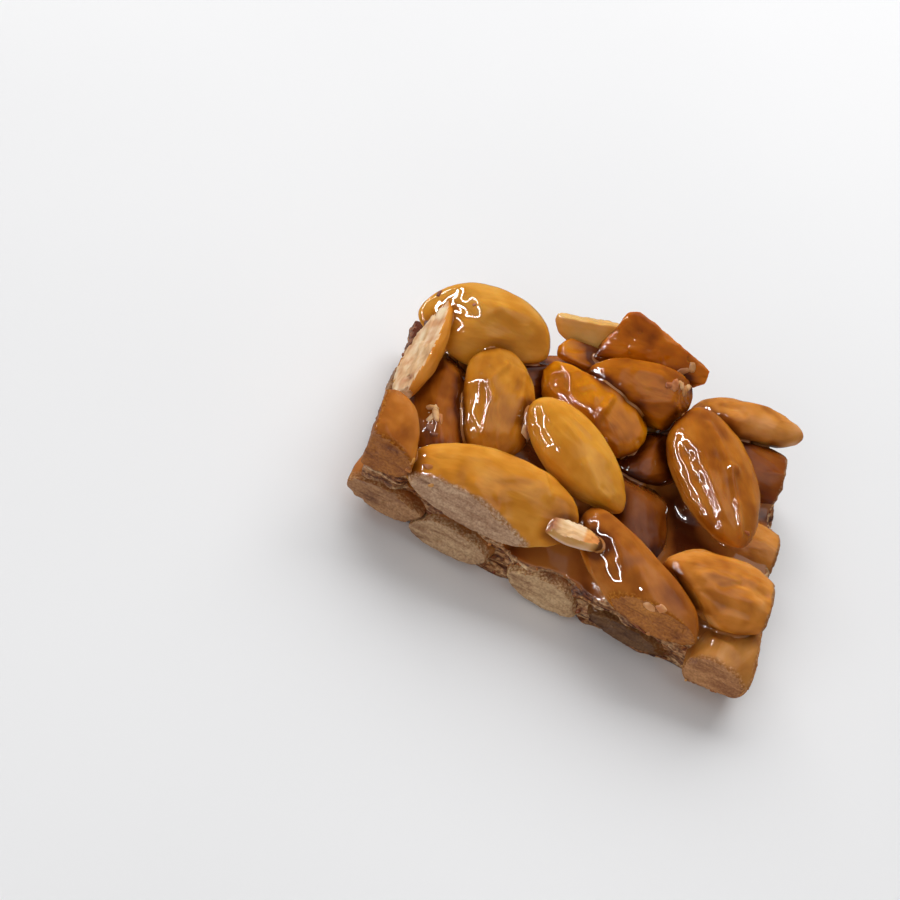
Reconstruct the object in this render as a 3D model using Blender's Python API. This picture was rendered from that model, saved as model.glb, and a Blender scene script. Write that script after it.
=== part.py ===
"""A hand-cut bar of almond nougat: whole roasted almonds in two layers, bound by hard amber caramel.

X runs along the bar, Y from its front to its back, and Z up. The origin is under the middle of the
bar's box, on the flat face that it was poured on. The tables are in millimetres, and MM turns them
into metres.
"""

from collections import namedtuple
from math import cos, pi, radians, sin

import bmesh
import bpy
import numpy as np
from mathutils import Euler, Matrix, Vector

MM = 0.001

# The bar's outline in plan, as the knife left it: narrower at its left end than at its right.
CORNERS = {
    "front_left": (-33.5, -17.0),
    "front_right": (34.0, -20.0),
    "back_right": (26.8, 28.5),
    "back_left": (-38.8, 20.0),
}
CARAMEL_INSET = 0.9  # the brittle caramel breaks off behind the sliced almonds,
RAGGED_BY = 1.4  # unevenly,
BASE_INSET = 0.8  # and crumbles away further along its lower edge

# The caramel that binds the almonds: its level between them, and the swell of its surface.
CARAMEL_LEVEL = 9.5
CARAMEL_SWELL = 1.3
SWELL_LENGTH = 17.0
CARAMEL_CELLS = (12, 8)
RAGGED_TURNS = (31.0, 23.0)  # radians of its ragged wave along the bar and across it

# An almond kernel's outline: how round its blunt end is and how drawn out its tip.
BLUNT_POWER = 0.50
TIP_POWER = 0.66

GAP = 0.3  # between solids that touch
POCKET_EASE = 1.25  # a pocket's corners lie further off than its faces
TOP_FACETS = (12, 7)  # round and along a kernel in the top layer
LOW_FACETS = (10, 6)
CONTACT_STEPS = 26
FLATTEST_EDGE = 0.05
SMOOTH_ANGLE = 40.0

# at: the kernel's middle. turn: its heading in plan, the rise of its tip, and its roll, in degrees.
# size: length, width, thickness. knives: the cuts that slice it, and how far proud of each cut it
# stands. splits: faces where it is broken, each an outward direction along its length, width and
# thickness, and a distance from its middle.
Kernel = namedtuple("Kernel", "name at turn size knives splits", defaults=({}, ()))

TOP_LAYER = (
    Kernel("top_back_left", (-27.6, 16.2, 14.4), (197, 4, -25), (23.0, 15.6, 12.0), {"back": 2.5}),
    Kernel("top_upright", (-20.7, 4.8, 12.5), (110, 13, 0), (21.6, 13.4, 8.5)),
    Kernel("top_middle", (-5.2, -0.4, 14.5), (-29, -10, 10), (22.7, 11.0, 8.0)),
    Kernel("top_wrinkled", (-6.5, 13.3, 12.8), (157, 4, -20), (21.2, 13.0, 9.0)),
    Kernel("top_back", (-0.2, 19.4, 14.8), (200, 5, -25), (20.0, 13.5, 10.0), {"back": 1.6},
           (((-0.68, 0, 0.73), 6.1),)),
    Kernel("top_right", (15.6, 10.8, 13.7), (-55, -2, 0), (28.5, 14.2, 8.8)),
    Kernel("top_back_right", (17.9, 26.9, 12.5), (24, -3, -40), (20.6, 10.5, 7.5), {"back": 1.6}),
    Kernel("top_front", (-14.8, -13.9, 12.5), (-174, -2, -15), (28.0, 14.5, 9.0), {"front": 0.8}),
    Kernel("top_glazed", (11.2, -14.6, 11.2), (-34, -3, 10), (27.0, 12.8, 9.0), {"front": 1.7}),
    Kernel("top_right_end", (24.2, -10.4, 12.0), (11, -3, 10), (21.3, 12.7, 8.5), {"right": -1.3}),
    Kernel("top_left", (-27.1, 0.2, 9.5), (103, 6, 0), (26.7, 12.0, 8.0), {"left": 0.4}),
    Kernel("top_left_corner", (-33.0, -17.6, 14.2), (97, 12, 0), (22.0, 12.0, 7.0),
           {"front": 1.4, "left": 1.2}),
    Kernel("gap_back", (-14.0, 18.5, 11.0), (30, 0, 0), (18.0, 11.0, 8.0)),
    Kernel("gap_middle", (6.0, 1.5, 8.0), (-60, 0, 0), (22.0, 12.0, 8.0)),
    Kernel("gap_right", (6.0, 13.5, 9.0), (60, 0, 0), (20.0, 11.0, 8.0)),
    Kernel("mid_back", (-3.0, 23.0, 8.6), (8, 0, 0), (21.0, 11.0, 7.0), {"back": 0.5}),
    Kernel("mid_right_back", (21.5, 21.0, 9.0), (5, 0, 0), (20.0, 12.0, 8.5), {"right": -1.2}),
    Kernel("mid_right", (26.5, 7.2, 6.5), (10, 0, 0), (16.0, 9.5, 7.0), {"right": 0.2}),
)

LOW_LAYER = (
    Kernel("low_front_left", (-28.2, -14.0, 5.6), (85, 0, 0), (22.0, 14.5, 5.5), {"front": 1.8}),
    Kernel("low_front_second", (-17.2, -15.0, 4.2), (80, 0, 0), (22.0, 14.6, 6.0), {"front": 1.6}),
    Kernel("low_front_third", (-0.4, -15.0, 3.4), (95, 0, 0), (22.0, 14.0, 6.0), {"front": 0.9}),
    Kernel("low_front_fourth", (15.5, -14.0, 3.6), (10, 0, 5), (22.0, 12.5, 5.5), {"front": 0.2}),
    Kernel("low_corner", (28.8, -15.0, 5.2), (80, 0, 0), (22.0, 11.5, 10.0),
           {"front": 1.8, "right": -0.5}),
    Kernel("low_left", (-33.5, 4.5, 4.2), (75, 0, 0), (22.0, 12.0, 6.5), {"left": 0.6}),
    Kernel("low_back_left", (-25.5, 17.0, 4.4), (100, 0, 0), (21.0, 12.5, 7.2), {"back": 0.6}),
    Kernel("low_back_second", (-12.0, 20.0, 4.0), (80, 0, 0), (20.0, 12.0, 6.5), {"back": 0.3}),
    Kernel("low_back_third", (4.0, 22.5, 3.8), (15, 0, 0), (23.0, 12.0, 6.6), {"back": 0.6}),
    Kernel("low_back_right", (20.5, 25.5, 3.8), (110, 0, 0), (22.0, 12.5, 6.6),
           {"back": 0.7, "right": 0.4}),
    Kernel("low_right", (29.5, -2.5, 3.8), (98, 0, 0), (22.0, 11.0, 6.4), {"right": 0.2}),
)

BROKEN = (
    Kernel("half_left", (-34.6, 5.3, 15.6), (93, 5, -59), (24.0, 7.6, 6.4),
           {}, (((0, 0, 1), 0.4), ((-1, 0, 0), 10.5))),
    Kernel("half_back", (-1.0, 25.1, 17.9), (15, 0, 55), (23.0, 14.0, 5.0),
           {}, (((0, 0, 1), 0.5), ((0.39, 0.92, 0), 4.3), ((-0.925, 0.38, 0), 8.0),
                ((1, 0, 0), 9.4), ((0.75, -0.66, 0), 8.2))),
    Kernel("sliver_back", (-10.2, 25.8, 18.2), (10, 10, 60), (16.0, 9.0, 5.0),
           {}, (((0, 1, 0), 0.8),)),
    Kernel("bit_back", (-10.5, 21.2, 15.0), (20, 0, 20), (10.5, 6.2, 4.6)),
    Kernel("chip_front", (-0.8, -15.4, 14.0), (4, 0, 0), (10.0, 4.2, 3.2),
           {}, (((-1, 0, 0.3), 3.6), ((0, 0, 1), 0.9))),
)


def knife_planes():
    """{cut: (a point on it, its outward direction)}, each from two corners of the outline."""
    corners = {name: Vector((x, y, 0)) for name, (x, y) in CORNERS.items()}
    ends = {
        "front": ("front_left", "front_right"),
        "right": ("front_right", "back_right"),
        "back": ("back_right", "back_left"),
        "left": ("back_left", "front_left"),
    }
    planes = {}
    for cut, (start, end) in ends.items():
        along = corners[end] - corners[start]
        planes[cut] = (corners[start], along.cross(Vector((0, 0, 1))).normalized())
    return planes


KNIVES = knife_planes()


def outline_radius(along):
    """The kernel's outline at -1 (blunt end) to 1 (tip), as a share of its widest."""
    widest = (BLUNT_POWER - TIP_POWER) / (BLUNT_POWER + TIP_POWER)
    most = (1 + widest) ** BLUNT_POWER * (1 - widest) ** TIP_POWER
    along = np.clip(along, -1, 1)
    return (1 + along) ** BLUNT_POWER * (1 - along) ** TIP_POWER / most


def rotation(kernel):
    """The kernel's turn as Blender holds it."""
    heading, rise, roll = (radians(angle) for angle in kernel.turn)
    return Euler((roll, -rise, heading), "XYZ")


def level(kernel, points):
    """Under 1 inside the kernel: a point's distance from its axis over the outline's there."""
    own = (points - np.array(kernel.at)) @ np.array(rotation(kernel).to_matrix())
    half = np.array(kernel.size) / 2
    along = own[:, 0] / half[0]
    across = np.hypot(own[:, 1] / half[1], own[:, 2] / half[2])
    return np.where(abs(along) < 1, across / np.maximum(outline_radius(along), 1e-6), 9.0)


def steepest(kernel, point):
    """The direction in which the kernel's level rises fastest at a point."""
    steps = np.vstack([np.eye(3), -np.eye(3)]) * 0.05
    values = level(kernel, point + steps)
    return Vector(values[:3] - values[3:]).normalized()


def contact(first, second):
    """A plane between two kernels that press together, as (point, direction of the second)."""
    reach = [max(k.size) / 2 for k in (first, second)]
    low = np.maximum(np.array(first.at) - reach[0], np.array(second.at) - reach[1])
    high = np.minimum(np.array(first.at) + reach[0], np.array(second.at) + reach[1])
    if (low >= high).any():
        return None
    axes = [np.linspace(a, b, CONTACT_STEPS) for a, b in zip(low, high)]
    points = np.stack(np.meshgrid(*axes), -1).reshape(-1, 3)
    swollen = [1 + 2 * GAP / min(k.size) for k in (first, second)]
    both = (level(first, points) < swollen[0]) & (level(second, points) < swollen[1])
    if not both.any():
        return None
    middle = points[both].mean(axis=0)
    direction = steepest(first, middle) - steepest(second, middle)
    if direction.length < FLATTEST_EDGE:
        direction = Vector(second.at) - Vector(first.at)
    return Vector(middle), direction.normalized()


def slice_off(bm, point, direction):
    """Cuts away what lies beyond a plane, and closes the cut with one flat face."""
    geometry = bm.verts[:] + bm.edges[:] + bm.faces[:]
    bmesh.ops.bisect_plane(
        bm, geom=geometry, plane_co=point, plane_no=direction, clear_outer=True, dist=1e-4
    )
    open_edges = [e for e in bm.edges if e.is_boundary]
    if open_edges:
        bmesh.ops.holes_fill(bm, edges=open_edges)


def whole_kernel(kernel, facets):
    """A sphere drawn out to the kernel's outline, about its own middle."""
    bm = bmesh.new()
    bmesh.ops.create_uvsphere(bm, u_segments=facets[0], v_segments=facets[1], radius=1)
    half = Vector(kernel.size) / 2
    for vert in bm.verts:
        along = vert.co.z
        ring = Vector((vert.co.x, vert.co.y, 0))
        if ring.length:
            ring *= float(outline_radius(along)) / ring.length
        vert.co = (along * half.x, ring.x * half.y, ring.y * half.z)
    return bm


def kernel_mesh(kernel, facets, contacts):
    """The kernel about its own middle: broken, sliced by the knife and pressed flat."""
    bm = whole_kernel(kernel, facets)
    for direction, distance in kernel.splits:
        outward = Vector(direction).normalized()
        slice_off(bm, outward * distance, outward)
    planes = [(point - direction * GAP / 2, direction) for point, direction in contacts]
    planes.append((Vector((0, 0, GAP)), Vector((0, 0, -1))))
    for cut, proud in kernel.knives.items():
        start, outward = KNIVES[cut]
        planes.append((start + outward * proud, outward))
    to_own = rotation(kernel).to_matrix().transposed()
    for point, direction in planes:
        slice_off(bm, to_own @ (point - Vector(kernel.at)), to_own @ direction)
    bmesh.ops.remove_doubles(bm, verts=bm.verts, dist=FLATTEST_EDGE)
    bmesh.ops.triangulate(bm, faces=bm.faces)
    bmesh.ops.recalc_face_normals(bm, faces=bm.faces)
    return bm


def swollen_copy(bm):
    """A copy that is a gap larger all round: what the kernel's pocket in the caramel is cut by."""
    larger = bm.copy()
    larger.normal_update()
    moves = [(v, v.normal * GAP * POCKET_EASE) for v in larger.verts]
    for vert, move in moves:
        vert.co += move
    return larger


def inside_outline(across, deep, inset):
    """The point in plan at shares from left to right and from front to back."""
    corners = {name: Vector((x, y, 0)) for name, (x, y) in CORNERS.items()}
    front = corners["front_left"].lerp(corners["front_right"], across)
    back = corners["back_left"].lerp(corners["back_right"], across)
    ragged = (1 + sin(RAGGED_TURNS[0] * across + RAGGED_TURNS[1] * deep)) / 2
    inward = Vector((1 - 2 * across, 1 - 2 * deep, 0))
    return front.lerp(back, deep) + inward * (inset + RAGGED_BY * ragged)


def caramel_mesh():
    """A slab on the bar's outline, flat below, whose top swells and dips."""
    bm = bmesh.new()
    cells_x, cells_y = CARAMEL_CELLS
    bmesh.ops.create_grid(bm, x_segments=cells_x, y_segments=cells_y, size=0.5)
    upper = bm.verts[:]
    made = bmesh.ops.extrude_face_region(bm, geom=bm.faces[:])
    lower = [v for v in made["geom"] if isinstance(v, bmesh.types.BMVert)]
    for vert in upper:
        x, y, _ = inside_outline(vert.co.x + 0.5, vert.co.y + 0.5, CARAMEL_INSET)
        swell = sin(2 * pi * x / SWELL_LENGTH) * cos(2 * pi * y / SWELL_LENGTH)
        vert.co = (x, y, CARAMEL_LEVEL + CARAMEL_SWELL * swell)
    for vert in lower:
        inset = CARAMEL_INSET + BASE_INSET
        vert.co = inside_outline(vert.co.x + 0.5, vert.co.y + 0.5, inset)
    bottom = [f for f in bm.faces if all(v.co.z == 0 for v in f.verts)]
    bmesh.ops.dissolve_faces(bm, faces=bottom)
    bmesh.ops.recalc_face_normals(bm, faces=bm.faces)
    return bm


def keep_largest(bm):
    """Drops the crumbs of caramel that the pockets cut off from the rest."""
    left = set(bm.verts)
    bodies = []
    while left:
        body, growing = set(), [left.pop()]
        while growing:
            vert = growing.pop()
            body.add(vert)
            near = {e.other_vert(vert) for e in vert.link_edges} & left
            left -= near
            growing += near
        bodies.append(body)
    largest = max(bodies, key=len)
    crumbs = [v for v in bm.verts if v not in largest]
    bmesh.ops.delete(bm, geom=crumbs, context="VERTS")


def material(name, colour, roughness):
    """A Principled BSDF of one colour, in linear red, green and blue."""
    made = bpy.data.materials.new(name)
    made.use_nodes = True
    shader = made.node_tree.nodes["Principled BSDF"]
    shader.inputs["Base Color"].default_value = (*colour, 1)
    shader.inputs["Roughness"].default_value = roughness
    return made


def add_object(name, bm, collection, look):
    """A bmesh in millimetres as an object in metres, shaded smooth between its cuts."""
    mesh = bpy.data.meshes.new(name)
    bmesh.ops.scale(bm, vec=(MM, MM, MM), verts=bm.verts)
    bm.to_mesh(mesh)
    bm.free()
    mesh.materials.append(look)
    mesh.shade_smooth()
    mesh.set_sharp_from_angle(angle=radians(SMOOTH_ANGLE))
    made = bpy.data.objects.new(name, mesh)
    collection.objects.link(made)
    return made


def put_in_place(made, kernel):
    made.location = Vector(kernel.at) * MM
    made.rotation_euler = rotation(kernel)


def add_kernels(collection, cutters):
    """Every almond and broken piece, pressed flat against each other where they meet."""
    roasted = material("roasted_almond", (0.50, 0.21, 0.045), 0.25)
    sliced = material("sliced_almond", (0.27, 0.14, 0.06), 0.6)
    broken = material("broken_almond", (0.56, 0.32, 0.11), 0.45)
    kernels = [(kernel, TOP_FACETS, roasted) for kernel in TOP_LAYER]
    kernels += [(kernel, LOW_FACETS, sliced) for kernel in LOW_LAYER]
    kernels += [(kernel, LOW_FACETS, broken) for kernel in BROKEN]
    contacts = {kernel.name: [] for kernel, _, _ in kernels}
    for i, (first, _, _) in enumerate(kernels):
        for second, _, _ in kernels[i + 1:]:
            touching = contact(first, second)
            if touching:
                point, direction = touching
                contacts[first.name].append((point, direction))
                contacts[second.name].append((point, -direction))
    for kernel, facets, look in kernels:
        bm = kernel_mesh(kernel, facets, contacts[kernel.name])
        pocket = add_object("pocket_" + kernel.name, swollen_copy(bm), cutters, look)
        pocket.hide_render = True
        pocket.display_type = "WIRE"
        put_in_place(pocket, kernel)
        put_in_place(add_object(kernel.name, bm, collection, look), kernel)


def add_caramel(collection, cutters):
    """The binding caramel, with a pocket for every almond, as one body."""
    look = material("amber_caramel", (0.20, 0.055, 0.008), 0.15)
    slab = add_object("slab", caramel_mesh(), collection, look)
    cut = slab.modifiers.new("pockets", "BOOLEAN")
    cut.operation = "DIFFERENCE"
    cut.solver = "EXACT"
    cut.operand_type = "COLLECTION"
    cut.collection = cutters
    graph = bpy.context.evaluated_depsgraph_get()
    carved = bpy.data.meshes.new_from_object(slab.evaluated_get(graph))
    bm = bmesh.new()
    bm.from_mesh(carved)
    bmesh.ops.scale(bm, vec=(1 / MM, 1 / MM, 1 / MM), verts=bm.verts)
    bpy.data.objects.remove(slab)
    keep_largest(bm)
    add_object("caramel", bm, collection, look)


def centre_on_origin(collection, cutters):
    """Moves the bar so that its box stands on the origin by the middle of its base."""
    bpy.context.view_layer.update()
    corners = [
        made.matrix_world @ vert.co for made in collection.objects for vert in made.data.vertices
    ]
    low = Vector(min(c[axis] for c in corners) for axis in range(3))
    high = Vector(max(c[axis] for c in corners) for axis in range(3))
    shift = Vector((-(low.x + high.x) / 2, -(low.y + high.y) / 2, -low.z))
    for made in [*collection.objects, *cutters.objects]:
        made.location += shift


def main():
    for old in list(bpy.data.objects):
        bpy.data.objects.remove(old)
    collection = bpy.data.collections.new("almond_nougat")
    cutters = bpy.data.collections.new("cutters")
    for made in (collection, cutters):
        bpy.context.scene.collection.children.link(made)
    add_kernels(collection, cutters)
    add_caramel(collection, cutters)
    centre_on_origin(collection, cutters)


main()
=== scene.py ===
"""Almond nougat bar, dressed over its CAD frame: whole roasted almonds held by hard amber caramel.

The almonds' places come from the frame: each kernel is laid over the corners of its own CAD node,
and its knife cuts, breaks and pressed flats are that node's planes. Lengths in the numpy code are
in millimetres, and MM turns them into metres where a mesh is made.
"""

from collections import namedtuple
from functools import lru_cache

import bpy
import numpy as np
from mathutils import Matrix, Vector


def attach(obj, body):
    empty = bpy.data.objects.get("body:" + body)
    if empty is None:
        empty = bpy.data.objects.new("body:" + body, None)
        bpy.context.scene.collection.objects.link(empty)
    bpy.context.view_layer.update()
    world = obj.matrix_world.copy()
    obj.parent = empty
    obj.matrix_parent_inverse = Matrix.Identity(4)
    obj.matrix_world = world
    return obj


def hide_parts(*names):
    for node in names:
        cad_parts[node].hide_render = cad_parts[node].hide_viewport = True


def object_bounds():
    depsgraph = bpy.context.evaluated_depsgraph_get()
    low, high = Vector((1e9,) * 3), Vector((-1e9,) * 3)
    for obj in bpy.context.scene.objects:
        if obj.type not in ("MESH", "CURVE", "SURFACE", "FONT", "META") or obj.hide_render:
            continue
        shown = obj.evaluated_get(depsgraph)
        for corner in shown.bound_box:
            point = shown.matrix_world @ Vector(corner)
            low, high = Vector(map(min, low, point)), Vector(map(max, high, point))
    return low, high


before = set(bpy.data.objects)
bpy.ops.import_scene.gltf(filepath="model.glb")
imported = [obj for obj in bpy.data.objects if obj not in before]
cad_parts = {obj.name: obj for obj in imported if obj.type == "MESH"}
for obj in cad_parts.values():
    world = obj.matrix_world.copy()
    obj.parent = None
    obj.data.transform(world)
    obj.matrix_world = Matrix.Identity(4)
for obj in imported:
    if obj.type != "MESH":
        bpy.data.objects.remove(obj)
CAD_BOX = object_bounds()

import openvdb
from bpy.props import FloatProperty, FloatVectorProperty, IntProperty, PointerProperty
from mathutils import Euler, Matrix, Vector

bl_info = {
    "name": "Almond Nougat Bar",
    "version": (1, 0, 0),
    "blender": (4, 5, 0),
    "location": "View3D > Sidebar > Nougat",
    "description": "Builds a caramel and almond nougat bar over its CAD frame",
    "category": "Object",
}

MM = 0.001

# An almond kernel's outline: how round its blunt end is and how drawn out its tip.
BLUNT_POWER = 0.50
TIP_POWER = 0.66
SKIN_TIP_POWER = 0.59  # the skin itself fills out the tip a little more than the CAD's flat facets

# How the planes are read from a node
CORNER_CELL = 0.04  # corners this close count as one move, in mm
LEAST_AREA = 1e-4  # of a triangle that shows its plane, in square mm
SMALLEST_CUT = 0.66  # what a plane takes off the outline, in mm, before it counts as a cut
SAME_WAY = 0.9998  # two directions are one where their product is more than this
SAME_LEVEL = 0.03  # and two distances where they differ by less than this, in mm
UPRIGHT = 0.01  # a face stands upright where its direction rises or falls less than this
DOWNWARD = -0.999  # and is a base where it falls further than this

# How sharply the surfaces meet: a higher power is a sharper edge
PRESSED_POWER = 13
CUT_POWER = 80
SHARD_POWER = 12
HALVINGS = 34  # of the interval that holds a surface
LOWEST = 0.02  # an almond's underside keeps this far off the floor, in mm

# Points round a piece and along it
TOP_GRID = (128, 92)
LOW_GRID = (96, 68)
CHIP_GRID = (20, 14)
CRUMB_GRID = (8, 6)
FLAKE_GRID = (16, 10)

# The grid that the caramel is worked out on, in mm
CELL = 0.44
REACH = 8  # cells either side of an almond's surface
ROOM = 3.2  # left round the almonds

# The caramel, in mm
ALMOND_OVERLAP = 0.3  # it starts this far inside an almond, so that no gap shows
FOOT = 0.4  # an almond's foot is what lies this close to its lowest point
GRIP = 0.9  # the caramel rises at least this far up the foot of each upper almond
GRIP_FADE = (5.0, 1.5)  # it has its usual level this far from the foot, and has risen at this
SIDE_ZONE = (-5, 18)  # the sides are ragged from this deep in the bar, up to this height
SIDE_BACK = 0.7  # it shattered back from the knife's line by this, and near the floor by more
BASE_BACK = (0.9, 4.0)  # how much more, from what height
SIDE_FACE = 0.25  # its faces this close behind a side are crumbled
FLOOR_FACE = 0.05  # and so are those this close to the floor

# The lump of caramel under each almond that hangs over a cut, in mm
SEATS = {"top_left_corner": 3.2}  # its size
SEAT_SQUASH = (1.6, 1.6, 1.0)
SEAT_FOOT = 0.8  # it lies under what is this close to the almond's lowest point,
SEAT_INWARD = 0.3  # this share of the way in to the almond's middle,
SEAT_DROP = 1.2  # and this far down
SEAT_PROUD = 0.9  # how far it may stand out of the ragged side
SEAT_FILLET = 1.5

# How the caramel's surface is evened out
EASING = 0.6  # of the way to the middle of a point's neighbours
LEAST_SLOPE = 0.25
LARGEST_STEP = 0.3  # back to the surface

# How far dust reaches from a knife's cut, in mm: on upper almonds, lower ones and the one at the
# front corner, which was cut cleanly
UPPER_DUST = 0.8
LOWER_DUST = 3.6
CORNER_DUST = 1.3

# Where the knife's sides hold crumbs and flakes, in mm
SPOT_FACE = 0.3  # the caramel's own points hold them this close behind a side
CUT_RIM = (0.25, 0.75)  # and an almond's where their share of a cut is between these
SPOT_DEPTH = 4.5  # the furthest from the knife's line
CORNER_ROOM = 4.0  # the nearest to the next side
FLOOR_ROOM = 0.6
CRUMB_TOP = 8.0  # the highest
FLAKE_TOP = 8.5

# The sugar film on the almonds, with painted shade: (share, where it is nothing, where it is whole)
POOLED_FILM = (0.75, 5.0, -0.5)  # by the height over the caramel's level, in mm
PRESSED_FILM_AND_SHADE = (0.8, 2.4, 0.0)  # by the distance to the next almond, in mm: thicker film, and painted shade between them
STEEP_FILM_AND_SHADE = (0.58, 0.75, -0.1)  # by how far the skin faces up: thicker film, and painted shade on the flanks
MIDDLE_FILM_AND_SHADE = 0.45  # where the three come to this,
USUAL_FILM_AND_SHADE = 0.38  # the film is this thick,
FILM_AND_SHADE_CONTRAST = 2.1  # and it changes by this much more than they do

# The lamps, in metres from the bar's middle
KEY_SOFTBOX = ((1.3, 0.8), (-0.16, 0.70, 0.60))  # size and place
FRONT_SOFTBOX = ((0.9, 0.6), (-0.30, -0.70, 0.42))
PANEL_SIDES = (0.55, 0.68, 0.80, 0.92)  # of the nested panels that give the overhead light soft edges
PANEL_HEADING = (0.28, 0.05, 0.96)
PANEL_DISTANCE = 0.75
PANEL_STEP = 0.002  # between the nested ones
FRAME_HEADING = (-0.835, -0.15, 0.53)
FRAME_DISTANCE = 0.8
FRAME_HALF = (0.46, 0.19)
STRIP_WIDTH = 0.024

# The camera
CAMERA_LENS = 88.0
CAMERA_SENSOR = 36.0
CAMERA_PLACE = (-11.26, -252.51, 251.54)  # in mm, from the middle of the bar's base
CAMERA_TURN = (2.3, 45.0, 24.9)  # its heading, how steeply it looks down and its roll, in degrees

FLOOR_CLOUDS = "#eeeeef"

# The nut that shows each cut, and how far proud of the knife's line it stands, in mm
KNIFE_NUTS = {
    "front": ("low_front_left", 1.8),
    "right": ("low_right", 0.2),
    "back": ("low_back_left", 0.6),
    "left": ("low_left", 0.6),
}

# turn: a kernel's heading, the rise of its tip, and its roll, in degrees.
# size: length, width and thickness. corners: its CAD node's, round it and along it.
# skin: its colour under the caramel. lumps, wrinkles, film and shade: how uneven its skin, and how thick
# its caramel is and how much painted shade that carries, against the usual. breaks: each an outward
# direction along the length, width and thickness, and a distance from the kernel's middle. bare: the
# caramel didn't run over those. inside: the colour of its cuts.
Kernel = namedtuple(
    "Kernel",
    "node turn size corners skin lumps wrinkles breaks bare film inside",
    defaults=("#c97e2d", 1.0, 1.0, (), False, 1.0, "#b58f6a"),
)
TOP = (12, 7)
LOW = (10, 6)

TOP_LAYER = (
    Kernel("top_back_left", (197, 4, -25), (23.0, 15.6, 12.0), TOP, "#f1a832", 0.7, 0.3, film=0.54),
    Kernel("top_upright", (110, 13, 0), (21.6, 13.4, 8.5), TOP, "#e49d2f", 0.8, 0.8),
    Kernel("top_middle", (-29, -10, 10), (22.7, 11.0, 8.0), TOP, "#f1a62b", 0.7, 0.5, film=0.57),
    Kernel("top_wrinkled", (157, 4, -20), (21.2, 13.0, 9.0), TOP, "#ed980a", 1.2, 1.8),
    Kernel("top_back", (200, 5, -25), (20.0, 13.5, 10.0), TOP, "#d47f0b", 1.0, 1.2,
           (((-0.68, 0, 0.73), 6.1),)),
    Kernel("top_right", (-55, -2, 0), (28.5, 14.2, 8.8), TOP, "#d18321", 0.8, 0.7),
    Kernel("top_back_right", (24, -3, -40), (20.6, 10.5, 7.5), TOP, "#f1a74d", 1.0, 1.0, film=0.9),
    Kernel("top_front", (-174, -2, -15), (28.0, 14.5, 9.0), TOP, "#f1a632", 1.0, 0.8, film=0.81,
           inside="#d9ba9b"),
    Kernel("top_glazed", (-34, -3, 10), (27.0, 12.8, 9.0), TOP, "#ce812c", 0.6, 0.4, inside="#cc8739"),
    Kernel("top_right_end", (11, -3, 10), (21.3, 12.7, 8.5), TOP, "#f1a241", 1.2, 1.4),
    # Its film is raised so that it shows darker: painted shade.
    Kernel("top_left", (103, 6, 0), (26.7, 12.0, 8.0), TOP, "#be7426", 1.2, 1.2, film=1.2),
    Kernel("top_left_corner", (97, 12, 0), (22.0, 12.0, 7.0), TOP, "#d38630", 1.0, 1.0, inside="#bc7a33"),
    Kernel("gap_back", (30, 0, 0), (18.0, 11.0, 8.0), TOP, "#c97826"),
    Kernel("gap_middle", (-60, 0, 0), (22.0, 12.0, 8.0), TOP, "#96561d"),
    Kernel("gap_right", (60, 0, 0), (20.0, 11.0, 8.0), TOP, "#a9621c"),
    Kernel("mid_back", (8, 0, 0), (21.0, 11.0, 7.0), TOP, "#d18e4b"),
    Kernel("mid_right_back", (5, 0, 0), (20.0, 12.0, 8.5), TOP, "#a85c11"),
    # Its film is thinned so that it shows paler: painted light.
    Kernel("mid_right", (10, 0, 0), (16.0, 9.5, 7.0), TOP, "#e89e40", film=0.5),
)

LOW_LAYER = (
    Kernel("low_front_left", (85, 0, 0), (22.0, 14.5, 5.5), LOW, "#e99f56", film=0.6, inside="#c2966a"),
    Kernel("low_front_second", (80, 0, 0), (22.0, 14.6, 6.0), LOW, "#e9a45c", film=0.5, inside="#d4b48d"),
    Kernel("low_front_third", (95, 0, 0), (22.0, 14.0, 6.0), LOW, "#e09342", film=0.7, inside="#e5c79c"),
    Kernel("low_front_fourth", (10, 0, 5), (22.0, 12.5, 5.5), LOW, "#d98736", film=0.7, inside="#886542"),
    Kernel("low_corner", (80, 0, 0), (22.0, 11.5, 10.0), LOW, "#f1b05c", film=0.58, inside="#d59f6a"),
    Kernel("low_left", (75, 0, 0), (22.0, 12.0, 6.5), LOW),
    Kernel("low_back_left", (100, 0, 0), (21.0, 12.5, 7.2), LOW),
    Kernel("low_back_second", (80, 0, 0), (20.0, 12.0, 6.5), LOW),
    Kernel("low_back_third", (15, 0, 0), (23.0, 12.0, 6.6), LOW),
    Kernel("low_back_right", (110, 0, 0), (22.0, 12.5, 6.6), LOW),
    Kernel("low_right", (98, 0, 0), (22.0, 11.0, 6.4), LOW),
)

BROKEN = (
    Kernel("half_left", (93, 5, -59), (24.0, 7.6, 6.4), LOW, "#f19f30", 0.8, 0.8,
           (((0, 0, 1), 0.4), ((-1, 0, 0), 10.5)), True, 0.65, "#ffffff"),
    Kernel("half_back", (15, 0, 55), (23.0, 14.0, 5.0), LOW, "#f19116", 0.8, 0.8,
           (((0, 0, 1), 0.5), ((0.39, 0.92, 0), 4.3), ((-0.925, 0.38, 0), 8.0),
            ((1, 0, 0), 9.4), ((0.75, -0.66, 0), 8.2)), False, 1.02),
    # Its film is thinned so that it shows paler, as if lit through: painted light.
    Kernel("sliver_back", (10, 10, 60), (16.0, 9.0, 5.0), LOW, "#f1b54d", 0.8, 0.6,
           (((0, 1, 0), 0.8),), False, 0.2),
    Kernel("bit_back", (20, 0, 20), (10.5, 6.2, 4.6), LOW, "#f19a0a"),
    Kernel("chip_front", (4, 0, 0), (10.0, 4.2, 3.2), LOW, "#edc380", 0.8, 0.6,
           (((-1, 0, 0.3), 3.6), ((0, 0, 1), 0.9)), True, inside="#ffffff"),
)

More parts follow.
